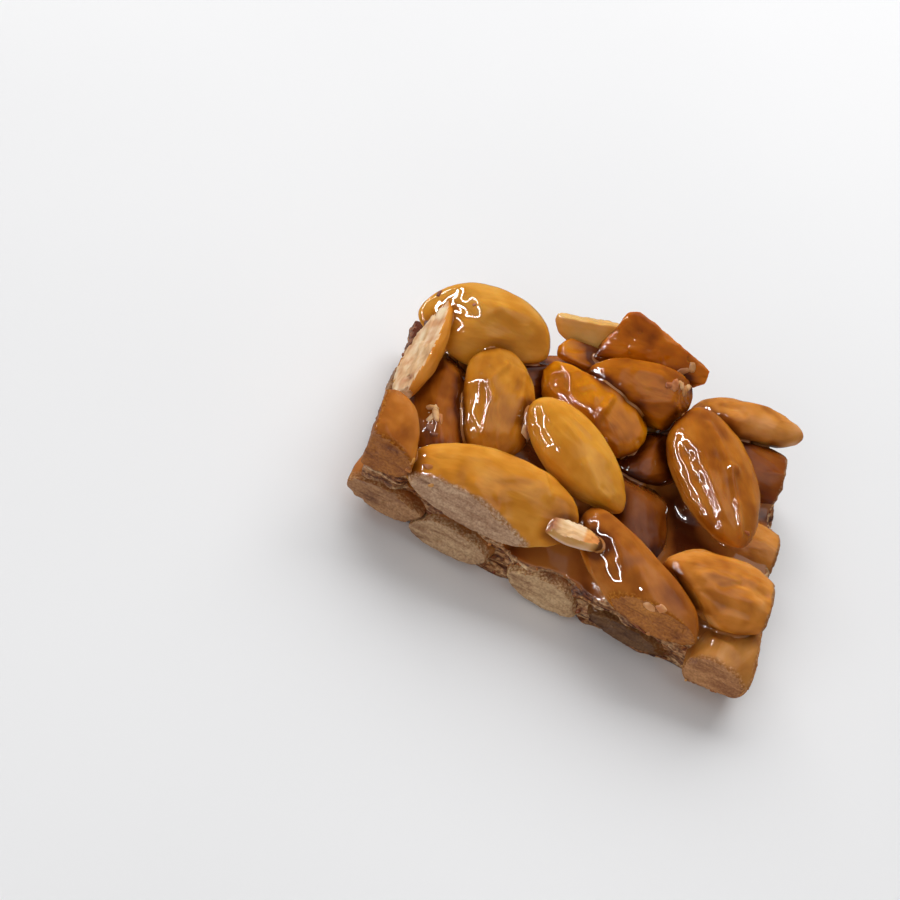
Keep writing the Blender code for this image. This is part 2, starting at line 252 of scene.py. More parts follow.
# Creases and dents, and ridges where the depth is below nothing: (from x, y, to x, y, width, depth)
# in mm, in the kernel's own length and width, on its upper side.
STROKES = {
    "top_back_left": (
        (2.6, -2.1, 2.1, -1.9, 1.3, 0.4), (1.7, -0.3, -0.7, -2.5, 0.7, 0.2),
        (-0.7, -2.5, -6.5, -0.6, 1.0, 0.4), (-0.2, 2.7, -4.0, 0.9, 1.3, 0.3),
    ),
    "top_upright": (
        (5.2, -0.8, 0.8, 2.5, 0.5, 0.35), (0.8, 2.5, -2.1, 1.6, 0.5, 0.35),
        (-2.1, 1.6, -7.7, 2.3, 0.6, 0.3), (4.8, -3.7, -1.0, -3.0, 0.8, 0.35),
        (-1.0, -3.0, -7.2, -1.5, 0.8, 0.3),
    ),
    "top_middle": (
        (-5.0, 1.5, -1.1, 1.9, 0.4, 0.2), (-4.6, -0.3, -0.6, -0.1, 0.4, 0.15),
        (2.8, -1.6, 5.8, -1.8, 1.1, 0.4), (2.1, 1.3, 3.6, 1.5, 1.0, 0.35),
        (6.6, -2.0, 8.7, -1.0, 0.4, 0.3),
    ),
    "top_wrinkled": (
        (-2.0, -1.6, -2.7, 0.9, 0.5, 0.7), (-2.7, 0.9, -3.4, 3.4, 0.6, 0.7),
        (-0.3, 0.6, -2.5, 2.6, 0.9, 0.35), (2.9, 1.2, 1.9, -0.6, 0.8, 0.3),
        (1.0, -3.0, -2.6, -3.4, 0.7, 0.25),
    ),
    "top_right": (
        (-2.2, -5.2, -1.7, -5.2, 0.9, -0.5), (1.8, 1.1, 2.2, 1.4, 0.8, 0.6),
        (-7.4, 0.0, 1.8, 0.4, 0.7, 0.35), (2.3, 0.4, 8.4, -0.2, 0.5, 0.5),
        (8.4, -0.2, 12.8, -0.2, 0.5, 0.5), (-4.2, -5.3, 2.8, -5.0, 0.8, -0.3),
        (2.8, -5.0, 10.3, -3.4, 0.8, -0.35), (1.8, -3.7, 8.8, -2.7, 1.2, 0.3),
    ),
    "top_right_end": (
        (-2.2, -1.4, 1.1, 0.2, 0.5, -0.3), (1.1, 0.2, 5.4, 0.1, 0.5, -0.3),
        (-4.9, -3.0, -0.7, -3.9, 0.6, -0.3), (-0.7, -3.9, 2.5, -3.8, 0.6, -0.3),
        (-2.9, -3.0, 4.5, -2.0, 0.8, 0.35), (-5.6, -1.0, -4.0, 0.4, 0.8, 0.3),
    ),
    "top_front": (
        (2.9, 1.7, -0.8, 4.2, 0.8, 0.4), (-0.8, 4.2, -3.1, 4.9, 0.8, 0.35),
        (-6.5, -4.4, -8.3, -1.3, 0.6, 0.4), (-0.7, 0.1, -5.0, -1.5, 0.7, -0.3),
        (-0.9, 1.9, -1.9, 3.4, 0.6, 0.25),
    ),
    "top_back_right": ((-6.5, -2.0, -3.0, -4.2, 0.6, -0.3), (-3.0, -2.6, 5.0, -2.0, 0.8, 0.25)),
    "top_back": ((2.6, -1.6, -0.9, -2.0, 0.9, 0.3),),
    "top_glazed": ((-5.7, -1.7, -3.0, -2.6, 1.2, 0.35), (0.9, -2.0, 6.0, -2.5, 1.0, 0.3)),
    "top_left": ((-1.0, 2.2, -7.9, 0.1, 0.8, 0.4),),
    "top_left_corner": ((2.2, 0.4, -1.0, -2.3, 0.8, 0.35),),
    "low_corner": ((-3.0, 2.8, -3.2, -0.6, 0.6, 0.35),),
}

# Chips that stuck to the almonds, and one white one that paints a reflection. at: (node, own length,
# own width). turn: heading on the surface, in degrees. size: length, width and height. Two sit together
# where they broke from one.
Chip = namedtuple("Chip", "at turn size colour")
FLAKE_COLOURS = ("#ffffff", "#ffe2b8", "#b98a66", "#e3b48a", "#9a7355", "#ffffff")
CRUMB_COLOURS = ("#e8cfa6", "#cfa374", "#e0b888", "#b98a5c", "#f0dcb8", "#c08040", "#a5714c")
CHIPS = (
    Chip(("top_left", -3.4, 1.9), 15, (3.8, 1.4, 1.2), "#fff3e0"),
    Chip(("top_left", -2.6, 2.6), 80, (2.8, 1.0, 1.0), "#f3dcb8"),
    Chip(("top_left", -4.4, 2.3), 140, (3.0, 1.2, 1.0), "#fff3e0"),
    Chip(("top_left", -4.6, 1.0), 200, (2.2, 0.9, 0.8), "#e3bc98"),
    Chip(("top_left", -6.3, 2.2), 60, (2.2, 1.6, 0.8), "#a77f6a"),
    Chip(("top_left", -7.6, 1.4), 100, (1.7, 1.0, 0.7), "#96705c"),
    Chip(("top_glazed", 5.7, -3.0), 20, (3.0, 1.8, 1.1), "#ffe9d2"),
    Chip(("top_glazed", 6.9, -2.0), -15, (2.0, 1.4, 0.9), "#f6d8ba"),
    # This flat white chip stands where a pale reflection shows between this almond and the next: its
    # white is a painted reflection.
    Chip(("top_upright", -5.6, -5.0), 80, (4.0, 2.8, 0.8), "#ffffff"),
    Chip(("top_left_corner", -1.0, -5.7), 30, (1.6, 1.1, 0.9), "#d9ad62"),
    Chip(("top_left_corner", -2.6, -5.4), 80, (1.3, 0.9, 0.7), "#c9924c"),
    Chip(("top_front", 10.5, 0.9), 10, (1.9, 1.1, 0.9), "#cf9d58"),
    Chip(("top_front", 9.0, 3.2), 70, (1.3, 0.9, 0.7), "#e3c48c"),
    Chip(("top_back_left", 3.4, -2.2), 30, (0.9, 0.6, 0.4), "#b5743c"),
    Chip(("top_back_left", 8.5, -3.8), 80, (1.6, 1.0, 1.0), "#8d4d28"),
    Chip(("top_back_left", 9.4, 1.6), 10, (1.4, 1.0, 0.8), "#6d2d14"),
    Chip(("half_back", 5.0, -0.9), 35, (2.6, 1.6, 1.2), "#dcb493"),
    Chip(("half_back", 6.6, 0.2), 100, (2.2, 1.3, 1.2), "#e6c9ab"),
    Chip(("top_back", -2.4, -0.8), 20, (1.8, 1.2, 0.8), "#c9957a"),
    Chip(("top_back", -3.7, -1.2), 60, (3.0, 2.0, 1.1), "#dcae94"),
    Chip(("top_back", -5.3, -2.0), 10, (3.0, 2.0, 1.6), "#ffeeda"),
    Chip(("top_back", -6.5, -1.4), 70, (2.6, 2.0, 1.4), "#f6dcc2"),
    Chip(("top_back", -7.2, -2.6), 30, (2.2, 1.6, 1.3), "#ffeeda"),
    Chip(("top_wrinkled", -6.2, 3.6), 70, (1.4, 0.9, 0.7), "#cf9a6a"),
    Chip(("top_right", 12.6, 1.2), 70, (1.6, 0.9, 0.8), "#c58e6c"),
)


# ---------------------------------------------------------------------------------------------
# Sums that every piece uses

SEED_SHIFT = 31.7
CORNER_KEYS = (127.1, 311.7, 74.7)
SLOPE_TURNS = (1.0, 1.7, 2.3)
KEY_SPREAD = 43758.5453
NOISE_HEIGHT = 1.5


def noise(points, size, seed, stretch=(1, 1, 1)):
    """Soft lumps `size` apart, from about -1 to 1: each corner of a lattice has a random slope,
    and a point takes the slopes of the eight corners round it, joined by a smooth step."""
    place = points * np.array(stretch) / size + SEED_SHIFT * seed
    cell = np.floor(place)
    part = place - cell
    ease = part**3 * (part * (part * 6 - 15) + 10)
    total = np.zeros(len(points))
    for corner in np.ndindex(2, 2, 2):
        key = (cell + corner) @ np.array(CORNER_KEYS)
        away = part - corner
        for axis, turn in enumerate(SLOPE_TURNS):
            spun = np.sin(key * turn) * KEY_SPREAD
            away[:, axis] *= 2 * (spun - np.floor(spun)) - 1
        weight = np.prod(np.where(corner, ease, 1 - ease), axis=1)
        total += weight * away.sum(axis=1)
    return total * NOISE_HEIGHT


def smooth_step(low, high, values):
    """0 below low, 1 above high, and an S between."""
    share = np.clip((values - low) / (high - low), 0, 1)
    return share * share * (3 - 2 * share)


def join_softly(a, b, width):
    """The lesser of two distances, with the corner between them filled over `width`."""
    share = np.maximum(width - abs(a - b), 0) / width
    return np.minimum(a, b) - share * share * width / 4


def round_ways(grid):
    """Directions all round, the pole of x first: at each tilt from it a ring of turns about it."""
    around, rings = grid
    tilt = np.pi * np.arange(1, rings) / rings
    turn = 2 * np.pi * np.arange(around) / around
    tilt, turn = (a.ravel() for a in np.meshgrid(tilt, turn, indexing="ij"))
    way = np.stack([np.cos(tilt), np.sin(tilt) * np.cos(turn), np.sin(tilt) * np.sin(turn)], -1)
    return np.vstack([[1, 0, 0], way, [-1, 0, 0]])


def round_faces(grid):
    """The quads between those rings, and the triangles at both poles."""
    around, rings = grid[0], grid[1] - 1
    ring = np.arange(rings - 1)[:, None] * around + 1
    turn = np.arange(around)
    after = (turn + 1) % around
    quads = np.stack(
        [ring + turn, ring + after, ring + around + after, ring + around + turn], -1
    ).reshape(-1, 4)
    last = rings * around + 1
    first_fan = np.stack([np.zeros(around, int), 1 + after, 1 + turn], -1)
    end_ring = last - around
    end_fan = np.stack([np.full(around, last), end_ring + turn, end_ring + after], -1)
    return quads, np.vstack([first_fan, end_fan])


def point_normals(points, quads, triangles):
    """The outward direction at each point: the sum of its faces' own, each by its area."""
    total = np.zeros_like(points)
    for faces in (quads, triangles):
        corners = points[faces]
        across = np.cross(corners[:, 2] - corners[:, 0], corners[:, -1] - corners[:, 1])
        for column in range(faces.shape[1]):
            for axis in range(3):
                total[:, axis] += np.bincount(faces[:, column], across[:, axis], len(points))
    return total / np.maximum(np.linalg.norm(total, axis=1, keepdims=True), 1e-12)


def make_object(name, points, quads, triangles=(), looks=(), values=None, patches=None):
    """One shaded mesh from points in millimetres. values: {attribute: array of numbers, vectors
    or colours on the points}. patches: the number of each face's material, quads first."""
    mesh = bpy.data.meshes.new(name)
    quads = np.asarray(quads, np.int32).reshape(-1, 4)
    triangles = np.asarray(triangles, np.int32).reshape(-1, 3)
    mesh.vertices.add(len(points))
    mesh.vertices.foreach_set("co", (points * MM).astype(np.float32).ravel())
    loops = np.concatenate([quads.ravel(), triangles.ravel()])
    sizes = np.concatenate([np.full(len(quads), 4), np.full(len(triangles), 3)])
    mesh.loops.add(len(loops))
    mesh.loops.foreach_set("vertex_index", loops.astype(np.int32))
    mesh.polygons.add(len(sizes))
    mesh.polygons.foreach_set("loop_start", (np.cumsum(sizes) - sizes).astype(np.int32))
    mesh.polygons.foreach_set("use_smooth", np.ones(len(sizes), bool))
    if patches is not None:
        mesh.polygons.foreach_set("material_index", np.asarray(patches, np.int32))
    for look in looks:
        mesh.materials.append(look)
    for key, value in (values or {}).items():
        value = np.asarray(value, np.float32)
        kind = {1: "FLOAT", 3: "FLOAT_VECTOR", 4: "FLOAT_COLOR"}[
            1 if value.ndim == 1 else value.shape[1]
        ]
        field = {"FLOAT": "value", "FLOAT_VECTOR": "vector", "FLOAT_COLOR": "color"}[kind]
        mesh.attributes.new(key, kind, "POINT").data.foreach_set(field, value.ravel())
    mesh.update(calc_edges=True)
    mesh.validate()
    made = bpy.data.objects.new(name, mesh)
    bpy.context.scene.collection.objects.link(made)
    return made


def linear(code):
    """An sRGB hex colour as the linear red, green, blue and alpha that Blender's nodes take."""
    parts = [int(code[i : i + 2], 16) / 255 for i in (1, 3, 5)]
    light = [c / 12.92 if c <= 0.04045 else ((c + 0.055) / 1.055) ** 2.4 for c in parts]
    return (*light, 1.0)


# ---------------------------------------------------------------------------------------------
# The almonds, from the CAD frame


def outline_radius(along, tip_power=TIP_POWER):
    """The kernel's outline at -1 (blunt end) to 1 (tip), as a share of its widest:
    (1 + s) ^ BLUNT_POWER * (1 - s) ^ tip_power, over its own greatest value."""
    widest = (BLUNT_POWER - tip_power) / (BLUNT_POWER + tip_power)
    most = (1 + widest) ** BLUNT_POWER * (1 - widest) ** tip_power
    along = np.clip(along, -1, 1)
    return (1 + along) ** BLUNT_POWER * (1 - along) ** tip_power / most


def outline_points(kernel, along, turns):
    """Points on the uncut kernel, about its middle, in the frame's directions: at each share of
    its length an ellipse of its width and thickness, scaled by the outline."""
    along, turns = np.broadcast_arrays(along[:, None], turns[None])
    radius = outline_radius(along)
    half = np.array(kernel.size) / 2
    own = np.stack([along, radius * np.cos(turns), radius * np.sin(turns)], -1) * half
    return own.reshape(-1, 3) @ axes_of(kernel).T


def axes_of(kernel):
    """The kernel's own length, width and thickness as the columns of a matrix."""
    heading, rise, roll = np.radians(kernel.turn)
    return np.array(Euler((roll, -rise, heading), "XYZ").to_matrix())


def node_triangles(node):
    """The CAD node's triangles, three corners each, in millimetres."""
    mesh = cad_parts[node].data
    points = np.empty(len(mesh.vertices) * 3)
    mesh.vertices.foreach_get("co", points)
    mesh.calc_loop_triangles()
    corners = np.empty(len(mesh.loop_triangles) * 3, np.int32)
    mesh.loop_triangles.foreach_get("vertices", corners)
    return points.reshape(-1, 3)[corners].reshape(-1, 3, 3) / MM


def node_planes(triangles):
    """The planes of a faceted solid, each once: outward directions, and distances along them."""
    across = np.cross(triangles[:, 1] - triangles[:, 0], triangles[:, 2] - triangles[:, 0])
    area = np.linalg.norm(across, axis=1)
    real = area > LEAST_AREA
    across = across[real] / area[real][:, None]
    distance = (across * triangles[real, 0]).sum(axis=1)
    left = np.ones(len(distance), bool)
    planes = []
    for largest in np.argsort(-area[real]):
        if left[largest]:
            planes.append((across[largest], distance[largest]))
            level = abs(distance - distance[largest]) < SAME_LEVEL
            left &= ~((across @ across[largest] > SAME_WAY) & level)
    return planes


def middle_of(kernel, triangles, planes):
    """Where the uncut kernel's middle lies. Most of a node's corners are the kernel's own, so the
    move that brings most of the two together is the middle; a piece that has lost its corners is
    placed by its broken faces instead, whose distances from the middle are known."""
    broken = []
    for direction, distance in kernel.breaks:
        outward = axes_of(kernel) @ (np.array(direction) / np.linalg.norm(direction))
        broken += [(n, d - distance) for n, d in planes if n @ outward > SAME_WAY]
    if len(broken) > 3:
        return np.linalg.lstsq(
            np.array([n for n, _ in broken]), np.array([d for _, d in broken]), rcond=None
        )[0]
    around, rings = kernel.corners
    along = np.cos(np.pi * np.arange(1, rings) / rings)
    turns = np.pi / 2 + 2 * np.pi * np.arange(around) / around
    own = outline_points(kernel, along, turns)
    corners = np.unique(np.round(triangles.reshape(-1, 3), 3), axis=0)
    moves = (corners[:, None] - own[None]).reshape(-1, 3)
    _, cell, count = np.unique(
        np.round(moves / CORNER_CELL), axis=0, return_inverse=True, return_counts=True
    )
    likely = moves[cell.ravel() == count.argmax()].mean(axis=0)
    return moves[abs(moves - likely).max(axis=1) < CORNER_CELL].mean(axis=0)


def reach_of(kernel, middle, start, directions):
    """How far the uncut outline is from a start inside it, along each direction: the interval
    that holds the outline is halved until it is closed."""
    half = np.array(kernel.size) / 2
    own_start = (start - middle) @ axes_of(kernel) / half
    own_way = directions @ axes_of(kernel) / half
    low = np.zeros(len(directions))
    high = np.full(len(directions), max(kernel.size))
    for _ in range(HALVINGS):
        mid = (low + high) / 2
        at = own_start + own_way * mid[:, None]
        inside = (abs(at[:, 0]) < 1) & (
            np.hypot(at[:, 1], at[:, 2]) < outline_radius(at[:, 0], SKIN_TIP_POWER)
        )
        low, high = np.where(inside, mid, low), np.where(inside, high, mid)
    return (low + high) / 2


Cut = namedtuple("Cut", "kind outward distance")


def cuts_of(kernel, middle, planes):
    """The planes that take something off the kernel: knife, break, base or pressed."""
    whole = outline_points(kernel, np.linspace(-1, 1, 61), np.linspace(0, 2 * np.pi, 60))
    whole += middle
    broken = [
        axes_of(kernel) @ (np.array(way) / np.linalg.norm(way)) for way, _ in kernel.breaks
    ]
    cuts = []
    for outward, distance in planes:
        if (whole @ outward).max() - distance < SMALLEST_CUT:
            continue
        kind = "pressed"
        if outward[2] < DOWNWARD:
            kind = "base"
        elif any(way @ outward > SAME_WAY for way in broken):
            kind = "break"
        elif abs(outward[2]) < UPRIGHT and any(
            outward @ way > SAME_WAY for way, _ in knives().values()
        ):
            kind = "knife"
        cuts.append(Cut(kind, outward, distance))
    return cuts


@lru_cache(maxsize=None)
def knives():
    """{cut: (outward direction, distance)}: the bar's four cut sides, each read from the upright
    face of a nut that it sliced."""
    found = {}
    for name, (node, proud) in KNIFE_NUTS.items():
        side = {"front": (0, -1), "right": (1, 0), "back": (0, 1), "left": (-1, 0)}[name]
        upright = [p for p in node_planes(node_triangles(node)) if abs(p[0][2]) < UPRIGHT]
        outward, distance = max(upright, key=lambda p: p[0][:2] @ np.array(side))
        found[name] = (outward, distance - proud)
    return found


# own: the points in the kernel's own length, width and thickness. cut: each point's share of a cut.
Shape = namedtuple("Shape", "kernel points quads triangles own cut normals cuts")
LEAST_FACING = 1e-3
LEAST_DEPTH = 0.3  # mm of a kernel left under a cut's roughness
FURTHEST = 90  # mm from the bar's middle, past which a cut's roughness isn't worked out


def cut_roughness(points, kind, seed):
    """How far a cut face is broken away, in mm, as a sum of noises: a knife leaves thin level
    layers in steps, crumbs and pits, and a break leaves longer steps."""
    if kind == "knife":
        layers = noise(points, 1.7, seed, (0.35, 0.35, 1.9))
        steps = np.round(layers * 3 + 0.4 * noise(points, 0.9, seed + 1)) / 3
        crumbs = noise(points, 0.8, seed + 3) * 0.10
        pits = np.maximum(noise(points, 2.0, seed + 5) - 0.3, 0) * 0.9
        return 0.10 * layers + 0.16 * steps + crumbs + pits
    steps = np.round(3 * noise(points, 3.5, seed + 4)) / 3
    return 0.26 * noise(points, 2.4, seed) + 0.12 * noise(points, 0.8, seed + 2) + 0.12 * steps


def stroke_depth(own, stroke):
    """A crease or dent: a groove along a line in the kernel's own length and width, on its upper
    side, as deep as its depth times e ^ -(distance from the line / width) ^ 2."""
    x0, y0, x1, y1, width, depth = stroke
    start, along = np.array((x0, y0)), np.array((x1 - x0, y1 - y0), float)
    away = own[:, :2] - start
    share = np.clip(away @ along / max(along @ along, 1e-6), 0, 1)
    distance = np.linalg.norm(away - share[:, None] * along, axis=1)
    facing = smooth_step(-0.5, 1.5, own[:, 2])
    return depth * np.exp(-((distance / width) ** 2)) * facing


def pressed_nearness(kernel, middle, cuts, start, way):
    """One over the distance to the outline and the pressed flats, along each direction from a
    start inside them: with g one over the distance to each of them, it is
    (sum of g ^ PRESSED_POWER) ^ (1 / PRESSED_POWER), so that each corner is rounded."""
    near = (1 / reach_of(kernel, middle, start, way)) ** PRESSED_POWER
    for cut in cuts:
        if cut.kind in ("base", "pressed"):
            depth = cut.distance - start @ cut.outward
            near += (np.maximum(way @ cut.outward, 0) / depth) ** PRESSED_POWER
    return near ** (1 / PRESSED_POWER)


def sliced_nearness(cuts, start, way, seed):
    """The sum of g ^ CUT_POWER, with g one over the distance to each knife cut and break."""
    total = np.zeros(len(way))
    for number, cut in enumerate(cuts):
        if cut.kind in ("knife", "break"):
            facing = np.maximum(way @ cut.outward, LEAST_FACING)
            depth = cut.distance - start @ cut.outward
            at = start + way * (depth / facing)[:, None]
            at = np.where(abs(at) < FURTHEST, at, 0)
            depth = depth - cut_roughness(at, cut.kind, seed + number)
            total += (facing / np.maximum(depth, LEAST_DEPTH)) ** CUT_POWER
    return total


def skin_lift(kernel, own, points, seed):
    """How far the skin stands out of its smooth outline, in mm: lumps of two sizes, wrinkles that
    run along the kernel, a fine grain, and its own creases and dents."""
    lift = 0.30 * kernel.lumps * noise(own, 6.0, seed)
    lift += 0.14 * kernel.lumps * noise(own, 3.2, seed + 1)
    creased = 1 - 3 * abs(noise(own, 2.6, seed + 2, (0.3, 1, 1)))
    lift -= 0.11 * kernel.wrinkles * np.maximum(creased, 0) ** 2
    lift += 0.04 * noise(points, 1.5, seed + 3)
    return lift - sum(stroke_depth(own, stroke) for stroke in STROKES.get(kernel.node, ()))


@lru_cache(maxsize=None)
def kernel_shape(kernel, grid, seed):
    """The kernel as a grid of directions from a point inside it, and how far its surface is along
    each: one over (body ^ CUT_POWER + sliced) ^ (1 / CUT_POWER), where body is the nearness of
    its outline and flats and sliced that of its cuts. Its skin is then lifted off that."""
    triangles = node_triangles(kernel.node)
    planes = node_planes(triangles)
    middle = middle_of(kernel, triangles, planes)
    cuts = cuts_of(kernel, middle, planes)
    start = np.unique(np.round(triangles.reshape(-1, 3), 2), axis=0).mean(axis=0)
    own_way = round_ways(grid) * kernel.size
    own_way /= np.linalg.norm(own_way, axis=1, keepdims=True)
    way = own_way @ axes_of(kernel).T
    body = pressed_nearness(kernel, middle, cuts, start, way) ** CUT_POWER
    sliced = sliced_nearness(cuts, start, way, seed)
    reach = 1 / (body + sliced) ** (1 / CUT_POWER)
    points = start + way * reach[:, None]
    share = sliced / (body + sliced)
    quads, fans = round_faces(grid)
    own = (points - middle) @ axes_of(kernel)
    lift = skin_lift(kernel, own, points, seed) * (1 - share)
    points = points + point_normals(points, quads, fans) * lift[:, None]
    points[:, 2] = np.maximum(points[:, 2], LOWEST)
    own = (points - middle) @ axes_of(kernel)
    normals = point_normals(points, quads, fans)
    return Shape(kernel, points, quads, fans, own, share, normals, cuts)


@lru_cache(maxsize=None)
def all_shapes():
    """Every kernel's shape, top layer first, each with noise of its own."""
    return [
        kernel_shape(kernel, grid, first_seed + 7 * number)
        for layer, grid, first_seed in (
            (TOP_LAYER, TOP_GRID, 0), (LOW_LAYER, LOW_GRID, 200), (BROKEN, LOW_GRID, 400)
        )
        for number, kernel in enumerate(layer)
    ]


def shard(size, seed, grid=CHIP_GRID):
    """A broken chip about nothing, its length along x: nine planes set at random round a middle,
    three that face the first of them, and a box's six, joined as
    (sum of (way . outward / distance) ^ SHARD_POWER) ^ (1 / SHARD_POWER) along each direction."""
    random = np.random.default_rng(seed)
    way = round_ways(grid)
    outward = random.normal(size=(9, 3))
    outward = np.vstack([outward, -outward[:3], np.eye(3), -np.eye(3)])
    outward /= np.linalg.norm(outward, axis=1, keepdims=True)
    distance = random.uniform(0.65, 1.0, len(outward))
    near = (np.maximum(way @ outward.T, 0) / distance) ** SHARD_POWER
    points = way / near.sum(axis=1, keepdims=True) ** (1 / SHARD_POWER)
    points *= 1 + 0.12 * noise(points, 0.5, seed % 97)[:, None]
    return points * np.array(size) / 2, *round_faces(grid)


def laid_on(points, place, outward, along):
    """A shard's points moved to a place, its height along `outward` and its length as near
    `along` as that allows."""
    across = np.cross(outward, along)
    across /= np.linalg.norm(across)
    return place + points @ np.stack([np.cross(across, outward), across, outward])


def joined(pieces):
    """Many closed meshes as one: points, quads, triangles, and each point's piece."""
    counts = np.cumsum([0] + [len(p[0]) for p in pieces])
    quads = np.vstack([p[1] + first for p, first in zip(pieces, counts)])
    fans = np.vstack([p[2] + first for p, first in zip(pieces, counts)])
    owner = np.repeat(np.arange(len(pieces)), [len(p[0]) for p in pieces])
    return np.vstack([p[0] for p in pieces]), quads, fans, owner


CHIP_SHOWS = 0.18  # a chip's middle stands off the skin by this share of its height


def chip_pieces():
    """The chips of the table, each a little sunk in the almond it stuck to."""
    shapes = {shape.kernel.node: shape for shape in all_shapes()}
    pieces = []
    for number, chip in enumerate(CHIPS):
        node, x, y = chip.at
        shape = shapes[node]
        away = np.hypot(shape.own[:, 0] - x, shape.own[:, 1] - y)
        spot = np.where(shape.own[:, 2] < 0, np.inf, away).argmin()
        heading = np.radians(chip.turn)
        along = np.array((np.cos(heading), np.sin(heading), 0)) @ axes_of(shape.kernel).T
        points, quads, fans = shard(chip.size, 900 + number)
        sunk = shape.points[spot] + shape.normals[spot] * CHIP_SHOWS * chip.size[2]
        pieces.append((laid_on(points, sunk, shape.normals[spot], along), quads, fans))
    return pieces


# ---------------------------------------------------------------------------------------------
# The caramel between them


# first: the grid's first cell. The rest are distances on it, in mm: to the caramel, to its level, to
# the nearest almond and to the next, and to the knife's sides.
Field = namedtuple("Field", "first caramel pool nearest second side")


def grid_points(first, size):
    """The places of a block of cells, in millimetres."""
    axes = [(first[a] + np.arange(size[a])) * CELL for a in range(3)]
    return np.stack(np.meshgrid(*axes, indexing="ij"), -1)


def sample(array, first, points):
    """The value of a grid at each point, between its eight nearest cells in proportion."""
    place = points / CELL - np.array(first)
    place = np.clip(place, 0, np.array(array.shape) - 1.001)
    cell = place.astype(int)
    part = place - cell
    total = np.zeros(len(points))
    for corner in np.ndindex(2, 2, 2):
        at = cell + corner
        weight = np.prod(np.where(corner, part, 1 - part), axis=1)
        total += weight * array[at[:, 0], at[:, 1], at[:, 2]]
    return total


def distance_block(shape):
    """(first cell, distances): how far each cell near a closed shape is outside it."""
    transform = openvdb.createLinearTransform(voxelSize=CELL)
    triangles = np.vstack([shape.triangles, shape.quads[:, [0, 1, 2]], shape.quads[:, [0, 2, 3]]])
    grid = openvdb.FloatGrid.createLevelSetFromPolygons(
        shape.points.astype(np.float32), triangles=triangles.astype(np.uint32),
        transform=transform, halfWidth=REACH,
    )
    low = np.floor((shape.points.min(axis=0) - ROOM) / CELL).astype(int)
    high = np.ceil((shape.points.max(axis=0) + ROOM) / CELL).astype(int)
    block = np.zeros(high - low, np.float32)
    grid.copyToArray(block, ijk=tuple(int(i) for i in low))
    return low, block


def almond_distances(shapes, first, size):
    """On a grid, how far each cell is outside the nearest almond and outside the next, and the
    distances to all of them joined softly, which fills the corners between them."""
    bridge = bpy.context.scene.nougat_caramel.bridge / MM
    nearest, second, joined_up = (np.full(size, REACH * CELL, np.float32) for _ in range(3))
    for shape in shapes:
        start, block = distance_block(shape)
        start = start - first
        outside = np.maximum(-start, 0)
        block = block[outside[0] :, outside[1] :, outside[2] :]
        start = np.maximum(start, 0)
        end = np.minimum(start + block.shape, size)
        where = tuple(slice(a, b) for a, b in zip(start, end))
        block = block[tuple(slice(0, b - a) for a, b in zip(start, end))]
        second[where] = np.minimum(second[where], np.maximum(nearest[where], block))
        nearest[where] = np.minimum(nearest[where], block)
        joined_up[where] = join_softly(joined_up[where], block + ALMOND_OVERLAP, bridge)
    return nearest, second, joined_up


def caramel_level(plan, uppers):
    """How high the caramel stands at each place: it swells and sinks about its usual level, and
    rises round the foot of each upper almond, which would otherwise hang free."""
    settings = bpy.context.scene.nougat_caramel
    flat = plan.reshape(-1, 3) * (1, 1, 0)
    swell = noise(flat, 11.0, 5) + 0.35 * noise(flat, 4.0, 6)
    level = settings.level / MM + settings.swell / MM * swell.reshape(plan.shape[:2])
    for shape in uppers:
        bottom = shape.points[:, 2].min()
        foot = shape.points[shape.points[:, 2] < bottom + FOOT, :2].mean(axis=0)
        away = np.linalg.norm(plan[..., :2] - foot, axis=-1)
        level += np.maximum(bottom + GRIP - level, 0) * smooth_step(*GRIP_FADE, away)
    return level


def knife_side(places):
    """How far each place is outside the four cut sides, which are ragged: the caramel broke in
    lumps, in thin level layers and in crumbs, and further back near the floor."""
    side = np.full(places.shape[:3], -REACH * CELL, np.float32)
    for outward, distance in knives().values():
        side = np.maximum(side, places @ outward - distance)
    close = (side > SIDE_ZONE[0]) & (places[..., 2] < SIDE_ZONE[1])
    spots = places[close]
    ragged = 0.9 * noise(spots, 5.0, 11, (1, 1, 1.3)) + 0.2 * noise(spots, 0.9, 13)
    ragged += 0.6 * np.tanh(4 * noise(spots, 2.2, 12, (0.3, 0.3, 2.0)))
    base = smooth_step(BASE_BACK[1], 0.0, spots[:, 2]) * BASE_BACK[0]
    side[close] += SIDE_BACK + ragged + base
    return side


def seated(body, side, places, shape):
    """The caramel with a squashed ball of it under an almond's foot, cut by the same knife."""
    bottom = shape.points[:, 2].min()
    foot = shape.points[shape.points[:, 2] < bottom + SEAT_FOOT].mean(axis=0)
    foot += SEAT_INWARD * (shape.points.mean(axis=0) - foot) * (1, 1, 0) - (0, 0, SEAT_DROP)
    away = np.linalg.norm((places - foot) / SEAT_SQUASH, axis=-1)
    seat = np.maximum(away - SEATS[shape.kernel.node], side - SEAT_PROUD)
    return join_softly(body, seat, SEAT_FILLET)


